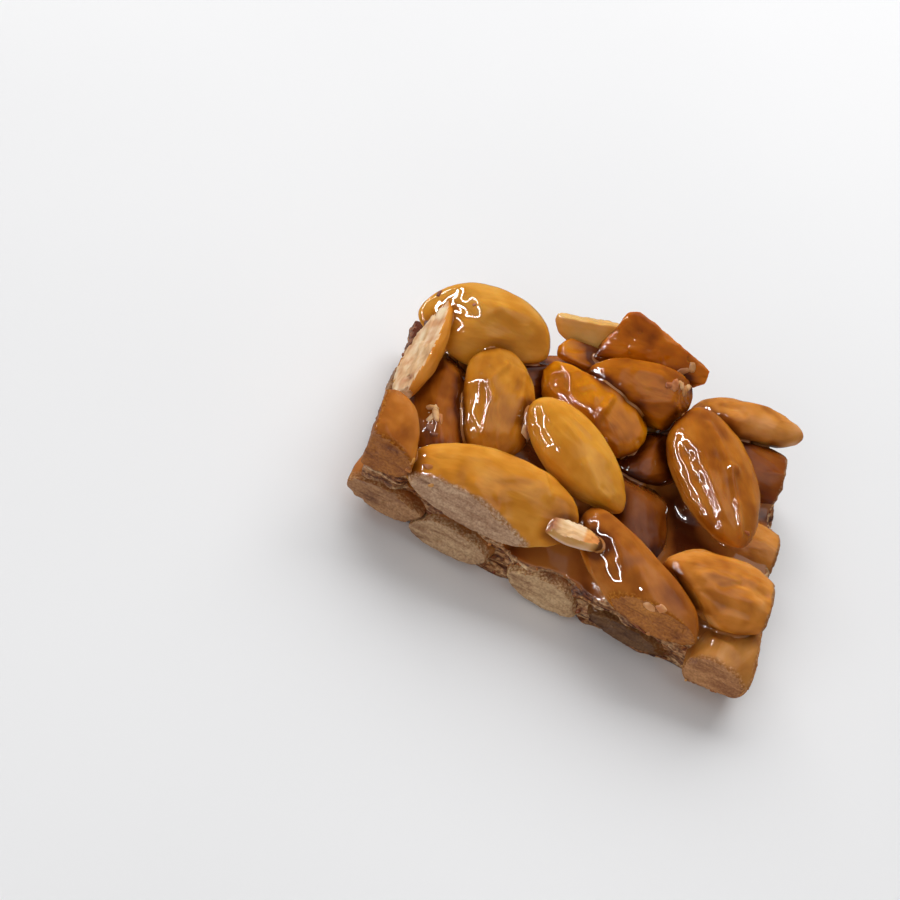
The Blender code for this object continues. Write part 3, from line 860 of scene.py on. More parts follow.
@lru_cache(maxsize=None)
def caramel_field():
    """Distances on a grid. The caramel is a pool up to its level, joined softly to the almonds, so
    that it climbs their flanks, and cut by the four sides and the floor."""
    shapes = all_shapes()
    low = np.min([s.points.min(axis=0) for s in shapes], axis=0) - ROOM
    high = np.max([s.points.max(axis=0) for s in shapes], axis=0) + ROOM
    low[2] = -2 * CELL
    first = np.floor(low / CELL).astype(int)
    size = np.ceil(high / CELL).astype(int) - first
    nearest, second, almonds = almond_distances(shapes, first, size)
    places = grid_points(first, size)
    pool = places[..., 2] - caramel_level(places[:, :, 0], shapes[: len(TOP_LAYER)])[:, :, None]
    side = knife_side(places)
    body = join_softly(pool, almonds, bpy.context.scene.nougat_caramel.climb / MM)
    body = np.maximum(body, side)
    for shape in shapes:
        if shape.kernel.node in SEATS:
            body = seated(body, side, places, shape)
    body = np.maximum(body, -places[..., 2])
    grids = [grid.astype(np.float32) for grid in (body, pool, nearest, second, side)]
    return Field(first, *grids)


@lru_cache(maxsize=None)
def caramel_shape():
    """The caramel's surface: where its distance is nothing, drawn as quads and eased."""
    field = caramel_field()
    band = 3 * CELL
    grid = openvdb.FloatGrid(band)
    grid.transform = openvdb.createLinearTransform(voxelSize=CELL)
    block = np.clip(field.caramel, -band, band)
    grid.copyFromArray(block, ijk=tuple(int(i) for i in field.first))
    points, quads = grid.convertToQuads(isovalue=0.0)
    points, quads = np.array(points, float), np.array(quads, np.int64)
    on_base = points[:, 2] < CELL * 0.6
    for _ in range(2):
        points = settle(points, quads, field, on_base)
    return points, quads


def settle(points, quads, field, on_base):
    """Evens the points out over the surface, then brings each back to it along the slope."""
    total = np.zeros_like(points)
    count = np.zeros(len(points))
    for a, b in ((0, 1), (1, 2), (2, 3), (3, 0)):
        for near, other in ((a, b), (b, a)):
            for axis in range(3):
                beside = points[quads[:, other], axis]
                total[:, axis] += np.bincount(quads[:, near], beside, len(points))
            count += np.bincount(quads[:, near], minlength=len(points))
    eased = points + EASING * (total / np.maximum(count, 1)[:, None] - points)
    here = sample(field.caramel, field.first, eased)
    slope = np.stack(
        [
            sample(field.caramel, field.first, eased + step)
            - sample(field.caramel, field.first, eased - step)
            for step in np.eye(3) * 0.5 * CELL
        ],
        -1,
    ) / CELL
    step = here / np.maximum((slope * slope).sum(axis=1), LEAST_SLOPE)
    eased -= slope * np.clip(step, -LARGEST_STEP, LARGEST_STEP)[:, None]
    eased[on_base, 2] = 0
    return eased


# ---------------------------------------------------------------------------------------------
# Materials. A noise's scale is one over its size in metres.

MIX = {"data_type": "RGBA"}  # a Mix node's settings, to lay one colour over another
TINT = {"data_type": "RGBA", "blend_type": "MULTIPLY"}  # and to multiply them


def add(tree, kind, inputs=(), ramp=(), **settings):
    """Adds one node. settings are its own properties, inputs its sockets' values or links, by
    name or number, and ramp the stops of a colour ramp as (place, hex or linear colour)."""
    made = tree.nodes.new("ShaderNode" + kind)
    for key, value in settings.items():
        setattr(made, key, value)
    for key, value in dict(inputs).items():
        if isinstance(value, bpy.types.NodeSocket):
            tree.links.new(value, made.inputs[key])
        else:
            made.inputs[key].default_value = value
    for number, (place, colour) in enumerate(ramp):
        stops = made.color_ramp.elements
        stop = stops[number] if number < 2 else stops.new(place)
        stop.position = place
        stop.color = linear(colour) if isinstance(colour, str) else colour
    return made


def new_material(name, **shader):
    """A material with its Principled shader: (material, node tree, shader). Values that are the
    same all over are set on the shader's own sockets."""
    made = bpy.data.materials.new(name)
    made.use_nodes = True
    principled = made.node_tree.nodes["Principled BSDF"]
    for key, value in shader.items():
        principled.inputs[key.replace("_", " ")].default_value = value
    return made, made.node_tree, principled


def film_and_shade_colour(tree, own, fibres):
    """The skin's colour through its film: pinker where it is bare, and darker where it is thick. The film
    value also carries painted shade, so the flanks and the skin beside the next almond are painted
    darker.
    """
    skin = add(tree, "Attribute", attribute_name="skin").outputs["Color"]
    film = add(tree, "Attribute", attribute_name="film").outputs["Fac"]
    # Bare pinkish patches about 6 mm across: partly bare skin and partly a painted soft reflection of the
    # light above.
    patches = add(tree, "Mapping", {"Vector": own, "Scale": (0.6, 1.0, 1.0)}).outputs[0]
    patches = add(tree, "TexNoise", {"Vector": patches, "Scale": 170.0, "Detail": 4.0,
                                     "Distortion": 0.5}).outputs[0]
    thick = add(tree, "MapRange", {0: patches, 1: 0.42, 2: 0.58, 3: 0.09, 4: -0.11}).outputs[0]
    film = add(tree, "Math", {0: film, 1: thick}, operation="ADD", use_clamp=True).outputs[0]
    depth = add(
        tree, "ValToRGB", {0: film},
        ramp=((0.0, "#ffffff"), (1.0, "#6e5038"), (0.2, "#f8f2ea"), (0.45, "#e2d3bf"),
              (0.72, "#b9a084")),
    ).outputs[0]
    # Where the film is thin, mostly on the tops, the skin is tinted paler and pinker: partly bare skin,
    # partly a painted soft reflection.
    bare = add(tree, "Mix", {0: 1.0, 6: skin, 7: (0.92, 0.98, 1.9, 1.0)}, **TINT).outputs[2]
    share = add(tree, "MapRange", {0: film, 1: 0.5, 2: 0.12, 3: 0.0, 4: 0.9}).outputs[0]
    bare = add(tree, "Mix", {0: share, 6: skin, 7: bare}, **MIX).outputs[2]
    colour = add(tree, "Mix", {0: 1.0, 6: bare, 7: depth}, **TINT).outputs[2]
    streak = add(
        tree, "ValToRGB", {0: fibres}, ramp=((0.3, "#cdb49c"), (0.6, "#ffffff"))
    ).outputs[0]
    streak = add(tree, "Mix", {0: 1.0, 6: colour, 7: streak}, **TINT).outputs[2]
    return add(tree, "Mix", {0: 0.2, 6: colour, 7: streak}, **MIX).outputs[2]


def dusty_skin(tree, grains):
    """Dust of crushed nut beside a knife cut: how much of the skin it covers, and its colour."""
    dust = add(tree, "Attribute", attribute_name="dust").outputs["Fac"]
    inside = add(tree, "Attribute", attribute_name="inside").outputs["Color"]
    colour = add(
        tree, "ValToRGB", {0: grains}, ramp=((0.3, "#9c8474"), (0.7, "#ffffff"), (0.5, "#cfbaab"))
    ).outputs[0]
    colour = add(tree, "Mix", {0: 1.0, 6: colour, 7: inside}, **TINT).outputs[2]
    cover = add(tree, "MapRange", {0: grains, 1: 0.3, 2: 0.7, 3: -0.25, 4: 0.25}).outputs[0]
    cover = add(tree, "Math", {0: dust, 1: cover}, operation="ADD", use_clamp=True).outputs[0]
    cover = add(tree, "Math", {0: cover, 1: dust}, operation="MULTIPLY", use_clamp=True).outputs[0]
    return cover, colour


def relief(tree, *heights):
    """A surface's relief from heights laid over each other, each with its strength and depth: the
    resulting normal."""
    normal = {}
    for height, strength, distance in heights:
        made = add(
            tree, "Bump", {"Height": height, "Strength": strength, "Distance": distance, **normal}
        )
        normal = {"Normal": made.outputs[0]}
    return normal["Normal"]


def glazed_almond():
    """A roasted almond's skin under a film of boiled sugar: the film is hard, clear and amber, so
    the eye sees sharp reflections over a warm, slightly see-through nut that darkens to red-brown
    wherever the film is thick and, as painted shade, on its flanks and beside the next almond, and
    that goes dull and dusty beside a knife cut."""
    made, tree, shader = new_material(
        "glazed_almond", IOR=1.48, Specular_IOR_Level=0.0, Coat_Roughness=0.015, Coat_IOR=1.5,
        Subsurface_Weight=0.3, Subsurface_Radius=(1.0, 0.45, 0.15), Subsurface_Scale=0.0014,
    )
    own = add(tree, "Attribute", attribute_name="own").outputs["Vector"]
    # Fibres that run along the nut 1.4 mm apart, and grains of dust about 0.4 mm across.
    fibres = add(tree, "Mapping", {"Vector": own, "Scale": (0.2, 1.0, 1.0)}).outputs[0]
    fibres = add(tree, "TexNoise", {"Vector": fibres, "Scale": 700.0, "Detail": 4.0}).outputs[0]
    grains = add(tree, "TexNoise", {"Vector": own, "Scale": 2400.0, "Detail": 4.0}).outputs[0]
    cover, dusty = dusty_skin(tree, grains)
    colour = film_and_shade_colour(tree, own, fibres)
    colour = add(tree, "Mix", {0: cover, 6: colour, 7: dusty}, **MIX).outputs[2]
    tree.links.new(colour, shader.inputs["Base Color"])
    gloss = add(tree, "MapRange", {0: cover, 3: 1.0, 4: 0.0}).outputs[0]
    tree.links.new(gloss, shader.inputs["Coat Weight"])
    rough = add(tree, "MapRange", {0: cover, 3: 0.35, 4: 0.8}).outputs[0]
    tree.links.new(rough, shader.inputs["Roughness"])
    # Wrinkles that run along the nut 3 mm apart, which the film half hides, its own ripples 2.4 mm
    # apart, and a few bubbles in it, about 0.5 mm across.
    folds = add(tree, "Mapping", {"Vector": own, "Scale": (0.35, 1.0, 1.0)}).outputs[0]
    folds = add(tree, "TexNoise", {"Vector": folds, "Scale": 330.0, "Detail": 2.0,
                                   "Distortion": 0.8}).outputs[0]
    ripple = add(tree, "TexNoise", {"Vector": own, "Scale": 420.0, "Detail": 1.5}).outputs[0]
    bubbles = add(tree, "TexVoronoi", {"Vector": own, "Scale": 520.0}).outputs["Distance"]
    bubbles = add(tree, "MapRange", {0: bubbles, 1: 0.07, 2: 0.16, 3: 1.0, 4: 0.0}).outputs[0]
    coat = relief(tree, (folds, 0.04, 0.0008), (ripple, 0.04, 0.0004), (bubbles, 0.3, 0.0002))
    tree.links.new(coat, shader.inputs["Coat Normal"])
    height = add(tree, "Mix", {0: cover, 6: fibres, 7: grains}, **MIX).outputs[2]
    skin = relief(tree, (folds, 0.35, 0.0008), (height, 0.25, 0.0003))
    tree.links.new(skin, shader.inputs["Normal"])
    return made


def own_tint(tree, colour, share, over):
    """A colour with another laid over it by a share, in the piece's own tint."""
    colour = add(tree, "Mix", {0: share, 6: colour, 7: over}, **TINT).outputs[2]
    inside = add(tree, "Attribute", attribute_name="inside").outputs["Color"]
    return add(tree, "Mix", {0: 1.0, 6: colour, 7: inside}, **TINT).outputs[2]


def crumbly_finish(tree, shader, colours, heights, depth):
    """Layers and crumbs in colour and in height, for a side that a knife went through."""
    tree.links.new(own_tint(tree, *colours), shader.inputs["Base Color"])
    layers, grain = heights
    height = add(tree, "Mix", {0: 0.4, 6: layers, 7: grain}, **MIX).outputs[2]
    tree.links.new(relief(tree, (height, 1.0, depth)), shader.inputs["Normal"])


def sliced_almond():
    """The inside of a roasted almond where a knife went through it: dry, layered and crumbly, so
    it is matt and a pinkish tan with pale crumbs and darker cracks, and shows no gloss."""
    made, tree, shader = new_material("sliced_almond", Roughness=0.75, IOR=1.45)
    place = add(tree, "TexCoord").outputs["Object"]
    # Layers about 1.5 mm apart, leaning as the knife dragged them, and crumbs of 0.4 mm.
    layers = add(tree, "Mapping", {"Vector": place, "Rotation": (0.0, -0.25, 0.0),
                                   "Scale": (0.35, 0.35, 1.6)}).outputs[0]
    layers = add(tree, "TexNoise", {"Vector": layers, "Scale": 420.0, "Detail": 4.0,
                                    "Roughness": 0.6, "Distortion": 0.9}).outputs[0]
    grain = add(tree, "TexNoise", {"Vector": place, "Scale": 2600.0, "Detail": 3.0}).outputs[0]
    colour = add(
        tree, "ValToRGB", {0: layers},
        ramp=((0.26, "#8a6d5b"), (0.74, "#fffaf4"), (0.38, "#c9b3a5"), (0.5, "#e6d8cd")),
    ).outputs[0]
    crumb = add(
        tree, "ValToRGB", {0: grain}, ramp=((0.35, "#c9b6a8"), (0.62, "#ffffff"))
    ).outputs[0]
    crumbly_finish(tree, shader, (colour, 0.7, crumb), (layers, grain), 0.0006)
    return made


def broken_almond():
    """The pale inside of an almond where it snapped: creamy white, fibrous and matt."""
    made, tree, shader = new_material(
        "broken_almond", Roughness=0.55, IOR=1.46, Subsurface_Weight=0.15,
        Subsurface_Radius=(1.0, 0.6, 0.3), Subsurface_Scale=0.001,
    )
    own = add(tree, "Attribute", attribute_name="own").outputs["Vector"]
    # Fibres that run along the nut 1.4 mm apart, and amber stains about 3 mm across.
    fibres = add(tree, "Mapping", {"Vector": own, "Scale": (0.25, 1.0, 1.0)}).outputs[0]
    fibres = add(tree, "TexNoise", {"Vector": fibres, "Scale": 700.0, "Detail": 5.0}).outputs[0]
    stain = add(tree, "TexNoise", {"Vector": own, "Scale": 300.0, "Detail": 2.0}).outputs[0]
    colour = add(
        tree, "ValToRGB", {0: fibres},
        ramp=((0.3, "#c08a55"), (0.7, "#fde3bd"), (0.45, "#e6b882")),
    ).outputs[0]
    amber = add(
        tree, "ValToRGB", {0: stain}, ramp=((0.5, "#ffffff"), (0.7, "#d99a50"))
    ).outputs[0]
    tree.links.new(own_tint(tree, colour, 0.7, amber), shader.inputs["Base Color"])
    tree.links.new(relief(tree, (fibres, 0.6, 0.0003)), shader.inputs["Normal"])
    return made


def poured_caramel():
    """Boiled sugar poured hot and set like glass: amber at its thin edges, a dark red-brown where
    it is deep, away from the almonds, which is also painted shade in the gaps between them, with a
    wet mirror gloss."""
    made, tree, shader = new_material(
        "poured_caramel", Roughness=0.12, IOR=1.5, Coat_Weight=1.0, Coat_Roughness=0.02,
        Coat_IOR=1.5,
    )
    settings = bpy.context.scene.nougat_caramel
    thin, deepest_shaded = tuple(settings.thin_colour), tuple(settings.deep_shaded_colour)
    place = add(tree, "TexCoord").outputs["Object"]
    # Darker away from the almonds: deeper caramel, and painted shade in the gaps.
    depth_and_shade = add(tree, "Attribute", attribute_name="depth_and_shade").outputs["Fac"]
    # Clouds about 4 mm across, and ripples 2 mm apart.
    cloud = add(tree, "TexNoise", {"Vector": place, "Scale": 260.0, "Detail": 3.0}).outputs[0]
    cloud = add(tree, "MapRange", {0: cloud, 1: 0.3, 2: 0.7, 3: -0.12, 4: 0.12}).outputs[0]
    depth_and_shade = add(tree, "Math", {0: depth_and_shade, 1: cloud}, operation="ADD", use_clamp=True).outputs[0]
    colour = add(
        tree, "ValToRGB", {0: depth_and_shade},
        ramp=((0.0, thin), (1.0, deepest_shaded), (0.2, "#ad6a2f"), (0.5, "#a05c27")),
    ).outputs[0]
    tree.links.new(colour, shader.inputs["Base Color"])
    ripple = add(tree, "TexNoise", {"Vector": place, "Scale": 500.0, "Detail": 2.0}).outputs[0]
    tree.links.new(relief(tree, (ripple, 0.15, 0.0004)), shader.inputs["Normal"])
    return made


def crumbled_caramel():
    """The same caramel where the knife shattered it: thin flaky layers of dark sugar with tan nut
    dust between them, dull but for some bright chips."""
    made, tree, shader = new_material("crumbled_caramel", IOR=1.5)
    place = add(tree, "TexCoord").outputs["Object"]
    # Layers about 0.9 mm apart and crumbs of 0.5 mm.
    layers = add(tree, "Mapping", {"Vector": place, "Scale": (0.3, 0.3, 1.8)}).outputs[0]
    layers = add(tree, "TexNoise", {"Vector": layers, "Scale": 620.0, "Detail": 6.0,
                                    "Roughness": 0.7, "Distortion": 0.8}).outputs[0]
    grain = add(tree, "TexNoise", {"Vector": place, "Scale": 1900.0, "Detail": 4.0}).outputs[0]
    colour = add(
        tree, "ValToRGB", {0: layers},
        ramp=((0.36, "#52260e"), (0.68, "#fbdcae"), (0.45, "#985521"), (0.54, "#d29d69")),
    ).outputs[0]
    crumb = add(
        tree, "ValToRGB", {0: grain}, ramp=((0.36, "#8f7663"), (0.6, "#ffffff"))
    ).outputs[0]
    rough = add(tree, "MapRange", {0: layers, 1: 0.34, 2: 0.5, 3: 0.2, 4: 0.75}).outputs[0]
    tree.links.new(rough, shader.inputs["Roughness"])
    crumbly_finish(tree, shader, (colour, 0.8, crumb), (layers, grain), 0.0008)
    return made


@lru_cache(maxsize=None)
def looks():
    """The finishes that the pieces share."""
    return {
        "glazed": glazed_almond(),
        "sliced": sliced_almond(),
        "broken": broken_almond(),
        "caramel": poured_caramel(),
        "crumbled": crumbled_caramel(),
    }


# ---------------------------------------------------------------------------------------------
# Pieces


def film_and_shade_share(film, values):
    """One of the three shares of the film, from what it goes by."""
    most, nothing, whole = film
    return most * smooth_step(nothing, whole, values)


def film_and_shade_on(shape):
    """How thick the film is on each point, from 0 to 1: thin on top, and thicker low on the
    flanks, beside another almond and where the caramel climbs. A thicker film is drawn darker, so
    the darker flanks and the skin beside another almond are painted shade as well as film.
    The three shares cover what is left clear by each other, and waves of two sizes run over them."""
    field = caramel_field()
    clear = 1 - film_and_shade_share(POOLED_FILM, sample(field.pool, field.first, shape.points))
    clear = clear * (1 - film_and_shade_share(PRESSED_FILM_AND_SHADE, sample(field.second, field.first, shape.points)))
    clear = clear * (1 - film_and_shade_share(STEEP_FILM_AND_SHADE, shape.normals[:, 2]))
    waves = 0.14 * noise(shape.points, 5.0, 60) + 0.07 * noise(shape.points, 1.8, 61) - 0.08
    film = USUAL_FILM_AND_SHADE + FILM_AND_SHADE_CONTRAST * (1 - clear + waves - MIDDLE_FILM_AND_SHADE)
    return np.clip(film * shape.kernel.film, 0, 1)


def dust_on(shape, width):
    """How dusty the skin is, from 0 to 1: most at the knife's cuts, fading over a width."""
    sliced = [cut for cut in shape.cuts if cut.kind == "knife"]
    if not sliced:
        return np.zeros(len(shape.points))
    beyond = np.max([shape.points @ cut.outward - cut.distance for cut in sliced], axis=0)
    waves = 0.5 * noise(shape.points, 2.6, 70) + 0.3 * noise(shape.points, 1.0, 71)
    return smooth_step(-width, -0.2 * width, beyond + 0.6 * width * waves)


def flesh_of(shape):
    """The colour of each point's cut or broken face: the kernel's own, and for the chip in front
    pinker at its torn end and amber at its round one."""
    flesh = np.tile(linear(shape.kernel.inside), (len(shape.cut), 1))
    if shape.kernel.node == "chip_front":
        for start, end, colour in ((-2.2, -3.4, "#c79a80"), (1.3, 1.9, "#f6c98c")):
            share = smooth_step(start, end, shape.own[:, :1])
            flesh = flesh + share * (np.array(linear(colour)) - flesh)
    return flesh


def make_almond(shape, inside, dust_width=UPPER_DUST):
    """One kernel with its film and the painted shade that the film carries, and its cut faces in their
    own finish.
    """
    face_cut = [shape.cut[faces].mean(axis=1) for faces in (shape.quads, shape.triangles)]
    made = make_object(
        "nut_" + shape.kernel.node, shape.points, shape.quads, shape.triangles,
        looks=(looks()["glazed"], looks()[inside]),
        values={
            "own": shape.own * MM, "film": film_and_shade_on(shape), "dust": dust_on(shape, dust_width),
            "skin": np.tile(linear(shape.kernel.skin), (len(shape.cut), 1)),
            "inside": flesh_of(shape),
        },
        patches=(np.concatenate(face_cut) > 0.5).astype(int) * (inside != "glazed"),
    )
    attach(made, "root")
    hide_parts(shape.kernel.node)
    return made


def side_spots(count, seed, top):
    """Places on the knife's sides up to a height, at random: points, the way each faces, and the
    way along its side. They are taken from the caramel and from the rims of the almonds' cuts."""
    field = caramel_field()
    caramel = caramel_shape()[0]
    spots = [caramel[sample(field.side, field.first, caramel) > -SPOT_FACE]]
    for shape in all_shapes()[: len(TOP_LAYER) + len(LOW_LAYER)]:
        spots.append(shape.points[(shape.cut > CUT_RIM[0]) & (shape.cut < CUT_RIM[1])])
    spots = np.vstack(spots)
    random = np.random.default_rng(seed)
    ways = list(knives().values())
    beyond = np.stack([spots @ outward - distance for outward, distance in ways], -1)
    good = (beyond.max(axis=1) > -SPOT_DEPTH) & (np.sort(beyond, axis=1)[:, -2] < -CORNER_ROOM)
    good &= (spots[:, 2] > FLOOR_ROOM) & (spots[:, 2] < top)
    chosen = random.choice(np.flatnonzero(good), count, replace=False)
    outward = np.array([ways[i][0] for i in beyond[chosen].argmax(axis=1)])
    outward = outward * (1, 1, 0)
    return spots[chosen], outward, np.cross((0, 0, 1), outward)


def crumb_pieces(count):
    """Crumbs of crushed nut on the knife's sides, about 0.3 to 1.2 mm across, small ones most."""
    random = np.random.default_rng(41)
    places, outward, along = side_spots(count, 42, CRUMB_TOP)
    pieces = []
    for number in range(count):
        size = 0.3 + 0.9 * random.random() ** 3
        size = size * random.uniform(0.6, 1.4, 3)
        points, quads, fans = shard(size, 2000 + number, CRUMB_GRID)
        lean = along[number] + random.normal(size=3) * 0.5
        pieces.append((laid_on(points, places[number], outward[number], lean), quads, fans))
    return pieces


def flake_pieces(count):
    """Flakes of shattered caramel on the knife's sides: thin level plates that stick out of the
    layers, 1.2 to 3.8 mm long."""
    random = np.random.default_rng(51)
    places, outward, along = side_spots(count, 52, FLAKE_TOP)
    pieces = []
    for number in range(count):
        size = random.uniform((1.2, 0.8, 0.3), (3.8, 1.8, 0.7))
        points, quads, fans = shard(size, 5000 + number, FLAKE_GRID)
        level = np.array((0, 0, 1)) + random.normal(size=3) * 0.2
        sunk = places[number] - outward[number] * 0.25 * size[1]
        pieces.append((laid_on(points, sunk, level, along[number]), quads, fans))
    return pieces


def make_bits(name, pieces, look, colours):
    """Many small pieces as one mesh, each with its own colour."""
    points, quads, fans, owner = joined(pieces)
    tints = np.array([linear(colour) for colour in colours])[owner % len(colours)]
    made = make_object(
        name, points, quads, fans, looks=(looks()[look],),
        values={"inside": tints, "own": points * MM},
    )
    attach(made, "root")
    return made


def scene_floor(size, colour):
    """A flat square on the floor's level, matt, with faint lighter clouds 17 cm wide."""
    half = size / MM / 2
    corners = np.array([(-1, -1, 0), (1, -1, 0), (1, 1, 0), (-1, 1, 0)]) * half
    made, tree, shader = new_material("matt_floor", Roughness=0.9, Specular_IOR_Level=0.1)
    place = add(tree, "TexCoord").outputs["Object"]
    cloud = add(tree, "TexNoise", {"Vector": place, "Scale": 6.0, "Detail": 2.0}).outputs[0]
    tone = add(tree, "ValToRGB", {0: cloud}, ramp=((0.3, colour), (0.7, FLOOR_CLOUDS))).outputs[0]
    tree.links.new(tone, shader.inputs["Base Color"])
    return make_object("floor", corners, [(0, 1, 2, 3)], looks=(made,))


def aim(thing, place, target, up):
    """Puts a lamp at a place, facing a target with its top towards up."""
    back = (Vector(place) - Vector(target)).normalized()
    right = Vector(up).cross(back).normalized()
    top = back.cross(right)
    turned = Matrix((right, top, back)).transposed().to_4x4()
    thing.matrix_world = Matrix.Translation(Vector(place)) @ turned


def add_lamp(name, size, radiance, place, target, up=(0, 1, 0)):
    """A flat rectangular lamp of one brightness all over."""
    lamp = bpy.data.lights.new(name, "AREA")
    lamp.shape = "RECTANGLE"
    lamp.size, lamp.size_y = size
    lamp.energy = radiance * size[0] * size[1] * np.pi
    made = bpy.data.objects.new(name, lamp)
    bpy.context.scene.collection.objects.link(made)
    aim(made, place, target, up)
    return made


# ---------------------------------------------------------------------------------------------
# Settings, operators and panel


class NougatBitSettings(bpy.types.PropertyGroup):
    """The crumbs and flakes that the knife left."""

    crumbs: IntProperty(
        name="Crumbs", description="Crumbs of nut on the cut sides", default=320, min=1
    )
    flakes: IntProperty(
        name="Flakes", description="Flakes of caramel on the cut sides", default=260, min=1
    )


class NougatCaramelSettings(bpy.types.PropertyGroup):
    """The caramel that binds the almonds."""

    level: FloatProperty(
        name="Level", description="How high it fills between the almonds", default=7.0 * MM,
        unit="LENGTH",
    )
    swell: FloatProperty(
        name="Swell", description="How far that level rises and falls", default=1.3 * MM,
        unit="LENGTH",
    )
    climb: FloatProperty(
        name="Climb", description="How far it climbs an almond's flank", default=2.2 * MM,
        unit="LENGTH",
    )
    bridge: FloatProperty(
        name="Bridge", description="How wide a corner it fills between almonds",
        default=1.8 * MM, unit="LENGTH",
    )
    thin_colour: FloatVectorProperty(
        name="Thin colour", description="Its colour where it is thin", default=linear("#b67332"),
        size=4, min=0, max=1, subtype="COLOR",
    )
    # Its colour where it is deepest, which is also the painted shade in the gaps between the almonds.
    deep_shaded_colour: FloatVectorProperty(
        name="Deep colour", description="Its colour where it is deepest",
        default=linear("#5e2a13"), size=4, min=0, max=1, subtype="COLOR",
    )


class NougatStageSettings(bpy.types.PropertyGroup):
    """The floor, the lamps and the camera."""

    floor_size: FloatProperty(
        name="Floor size", description="Side of the floor", default=4.0, unit="LENGTH"
    )
    floor_colour: FloatVectorProperty(
        name="Floor colour", description="Colour of the floor", default=linear("#e9e9ea"),
        size=4, min=0, max=1, subtype="COLOR",
    )
    key_light: FloatProperty(
        name="Key light", description="Brightness of the large softbox behind", default=3.6
    )
    fill_light: FloatProperty(
        name="Fill light", description="Brightness of the weak softbox in front", default=1.5
    )
    panel_light: FloatProperty(
        name="Panel light", description="Brightness of the soft panel overhead", default=0.55
    )
    frame_light: FloatProperty(
        name="Frame light", description="Brightness of the thin frame of strips", default=80.0
    )
    room_light: FloatProperty(
        name="Room light", description="Brightness of the room all round", default=0.15
    )


class NOUGAT_OT_whole_almonds(bpy.types.Operator):
    """Lays the whole glazed almonds of the upper layers"""

    bl_idname = "nougat.whole_almonds"
    bl_label = "Whole Almonds"

    def execute(self, context):
        for shape in all_shapes()[: len(TOP_LAYER)]:
            inside = "glazed" if shape.kernel.breaks else "sliced"
            make_almond(shape, inside)
        return {"FINISHED"}


class NOUGAT_OT_sliced_almonds(bpy.types.Operator):
    """Lays the lower almonds, which the knife sliced"""

    bl_idname = "nougat.sliced_almonds"
    bl_label = "Sliced Almonds"

    def execute(self, context):
        first = len(TOP_LAYER)
        for shape in all_shapes()[first : first + len(LOW_LAYER)]:
            dust = CORNER_DUST if shape.kernel.node == "low_corner" else LOWER_DUST
            make_almond(shape, "sliced", dust)
        return {"FINISHED"}


class NOUGAT_OT_broken_almonds(bpy.types.Operator):
    """Lays the halves, the sliver and the chips"""

    bl_idname = "nougat.broken_almonds"
    bl_label = "Broken Almonds"

    def execute(self, context):
        for shape in all_shapes()[-len(BROKEN) :]:
            inside = "broken" if shape.kernel.bare else "glazed"
            make_almond(shape, inside)
        return {"FINISHED"}


class NOUGAT_OT_bits(bpy.types.Operator):
    """Scatters the chips, the crumbs and the flakes"""

    bl_idname = "nougat.bits"
    bl_label = "Chips and Crumbs"

    def execute(self, context):
        settings = context.scene.nougat_bits
        chips, crumbs = chip_pieces(), crumb_pieces(settings.crumbs)
        colours = [chip.colour for chip in CHIPS]
        make_bits("nut_chips", chips, "broken", colours)
        make_bits("nut_crumbs", crumbs, "broken", CRUMB_COLOURS)
        make_bits(
            "caramel_flakes", flake_pieces(settings.flakes), "crumbled", FLAKE_COLOURS,
        )
        return {"FINISHED"}


class NOUGAT_OT_caramel(bpy.types.Operator):
    """Pours the caramel between the almonds"""

    bl_idname = "nougat.caramel"
    bl_label = "Caramel"

    def execute(self, context):
        points, quads = caramel_shape()
        field = caramel_field()
        # How far each point is from the nearest almond: the caramel is drawn darker there, as deeper
        # caramel and as painted shade in the gaps.
        away = sample(field.nearest, field.first, points)
        side = sample(field.side, field.first, points)
        on_side = side[quads].mean(axis=1) > -SIDE_FACE
        under = points[quads, 2].mean(axis=1) < FLOOR_FACE
        made = make_object(
            "binding_caramel", points, quads, looks=(looks()["caramel"], looks()["crumbled"]),
            values={"depth_and_shade": smooth_step(-0.2, 2.6, away), "inside": np.ones((len(points), 4))},
            patches=(on_side | under).astype(int),
        )
        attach(made, "root")
        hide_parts("caramel")
        return {"FINISHED"}


def hang_softboxes(middle, brightness):
    """The two large softboxes, behind and in front, which no gloss reflects."""
    for name, (size, place), radiance in zip(
        ("key_softbox", "front_softbox"), (KEY_SOFTBOX, FRONT_SOFTBOX), brightness
    ):
        lamp = add_lamp(name, size, radiance, middle + Vector(place), middle, (0, 0, 1))
        lamp.visible_glossy = False


def hang_panels(middle, brightness):
    """The panel overhead: nested squares, each a share of its brightness, give it soft edges."""
    heading = Vector(PANEL_HEADING).normalized()
    for number, side in enumerate(PANEL_SIDES):
        place = middle + heading * (PANEL_DISTANCE + PANEL_STEP * number)
        add_lamp(
            f"soft_panel_{number}", (side, side), brightness / len(PANEL_SIDES), place, middle
        )


def hang_frame(middle, brightness):
    """The frame of four thin bright strips that the glaze draws as loops, and that lights
    nothing else."""
    heading = Vector(FRAME_HEADING).normalized()
    across = Vector((0, 0, 1)).cross(heading).normalized()
    up = heading.cross(across)
    half_wide, half_tall = FRAME_HALF
    level, upright = (2 * half_wide, STRIP_WIDTH), (STRIP_WIDTH, 2 * half_tall)
    centre = middle + heading * FRAME_DISTANCE
    for number, (shift, size) in enumerate((
        (up * half_tall, level), (-up * half_tall, level),
        (across * half_wide, upright), (-across * half_wide, upright),
    )):
        place = centre + shift
        lamp = add_lamp(f"strip_{number}", size, brightness, place, place - heading, up)
        lamp.visible_diffuse = False


def light_room(brightness):
    """A weak white light from all round."""
    world = bpy.data.worlds.new("room")
    world.use_nodes = True
    background = world.node_tree.nodes["Background"].inputs
    background["Color"].default_value = (1, 1, 1, 1)
    background["Strength"].default_value = brightness
    bpy.context.scene.world = world


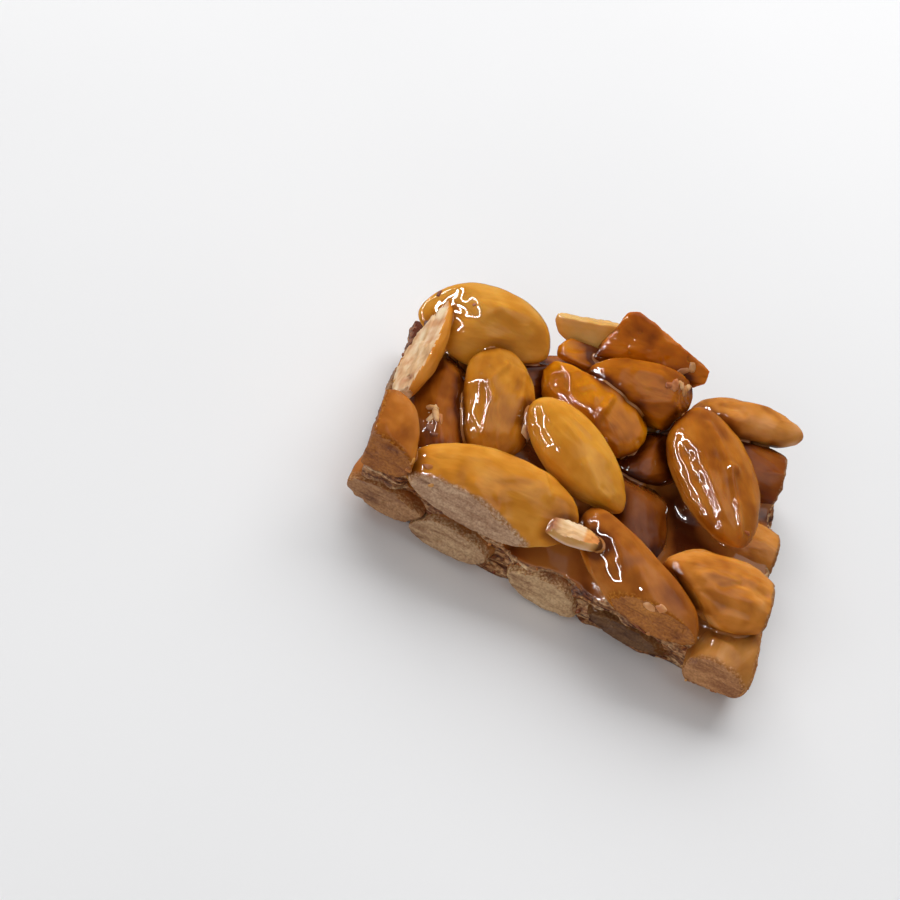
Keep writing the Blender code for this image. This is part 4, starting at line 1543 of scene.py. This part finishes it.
def place_camera(base):
    """The camera: from looking straight down it is rolled, then raised, then turned to its
    heading, and it stands off the middle of the bar's base."""
    camera = bpy.data.cameras.new("camera")
    camera.lens, camera.sensor_width = CAMERA_LENS, CAMERA_SENSOR
    made = bpy.data.objects.new("camera", camera)
    bpy.context.scene.collection.objects.link(made)
    heading, fall, roll = np.radians(CAMERA_TURN)
    made.matrix_world = (
        Matrix.Translation(base + Vector(CAMERA_PLACE) * MM) @ Matrix.Rotation(heading, 4, "Z")
        @ Matrix.Rotation(np.pi / 2 - fall, 4, "X") @ Matrix.Rotation(roll, 4, "Z")
    )
    bpy.context.scene.camera = made


class NOUGAT_OT_stage(bpy.types.Operator):
    """Sets the floor, the lamps and the camera"""

    bl_idname = "nougat.stage"
    bl_label = "Stage"

    def execute(self, context):
        settings = context.scene.nougat_stage
        middle = (CAD_BOX[0] + CAD_BOX[1]) / 2
        floor = scene_floor(settings.floor_size, tuple(settings.floor_colour))
        floor.visible_glossy = False
        hang_softboxes(middle, (settings.key_light, settings.fill_light))
        hang_panels(middle, settings.panel_light)
        hang_frame(middle, settings.frame_light)
        light_room(settings.room_light)
        place_camera(Vector((middle.x, middle.y, CAD_BOX[0].z)))
        context.scene.view_settings.view_transform = "Standard"
        return {"FINISHED"}


class NOUGAT_PT_panel(bpy.types.Panel):
    """Lists the nougat bar's operators and settings"""

    bl_idname = "NOUGAT_PT_panel"
    bl_label = "Almond Nougat Bar"
    bl_space_type = "VIEW_3D"
    bl_region_type = "UI"
    bl_category = "Nougat"

    def draw(self, context):
        for operator in OPERATORS:
            self.layout.operator(operator.bl_idname)
        for owner, settings in SETTINGS.items():
            group = getattr(context.scene, owner)
            box = self.layout.box()
            for name in settings.__annotations__:
                box.prop(group, name)


SETTINGS = {
    "nougat_caramel": NougatCaramelSettings,
    "nougat_bits": NougatBitSettings,
    "nougat_stage": NougatStageSettings,
}
OPERATORS = (
    NOUGAT_OT_whole_almonds,
    NOUGAT_OT_sliced_almonds,
    NOUGAT_OT_broken_almonds,
    NOUGAT_OT_caramel,
    NOUGAT_OT_bits,
    NOUGAT_OT_stage,
)


def register():
    for group in (*SETTINGS.values(), *OPERATORS, NOUGAT_PT_panel):
        bpy.utils.register_class(group)
    for owner, group in SETTINGS.items():
        setattr(bpy.types.Scene, owner, PointerProperty(type=group))


def unregister():
    for owner in SETTINGS:
        delattr(bpy.types.Scene, owner)
    for group in (NOUGAT_PT_panel, *reversed(OPERATORS), *SETTINGS.values()):
        bpy.utils.unregister_class(group)


def main():
    """Registers the add-on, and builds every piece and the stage."""
    register()
    bpy.ops.nougat.whole_almonds()
    bpy.ops.nougat.sliced_almonds()
    bpy.ops.nougat.broken_almonds()
    bpy.ops.nougat.caramel()
    bpy.ops.nougat.bits()
    bpy.ops.nougat.stage()


if __name__ == "__main__":
    main()
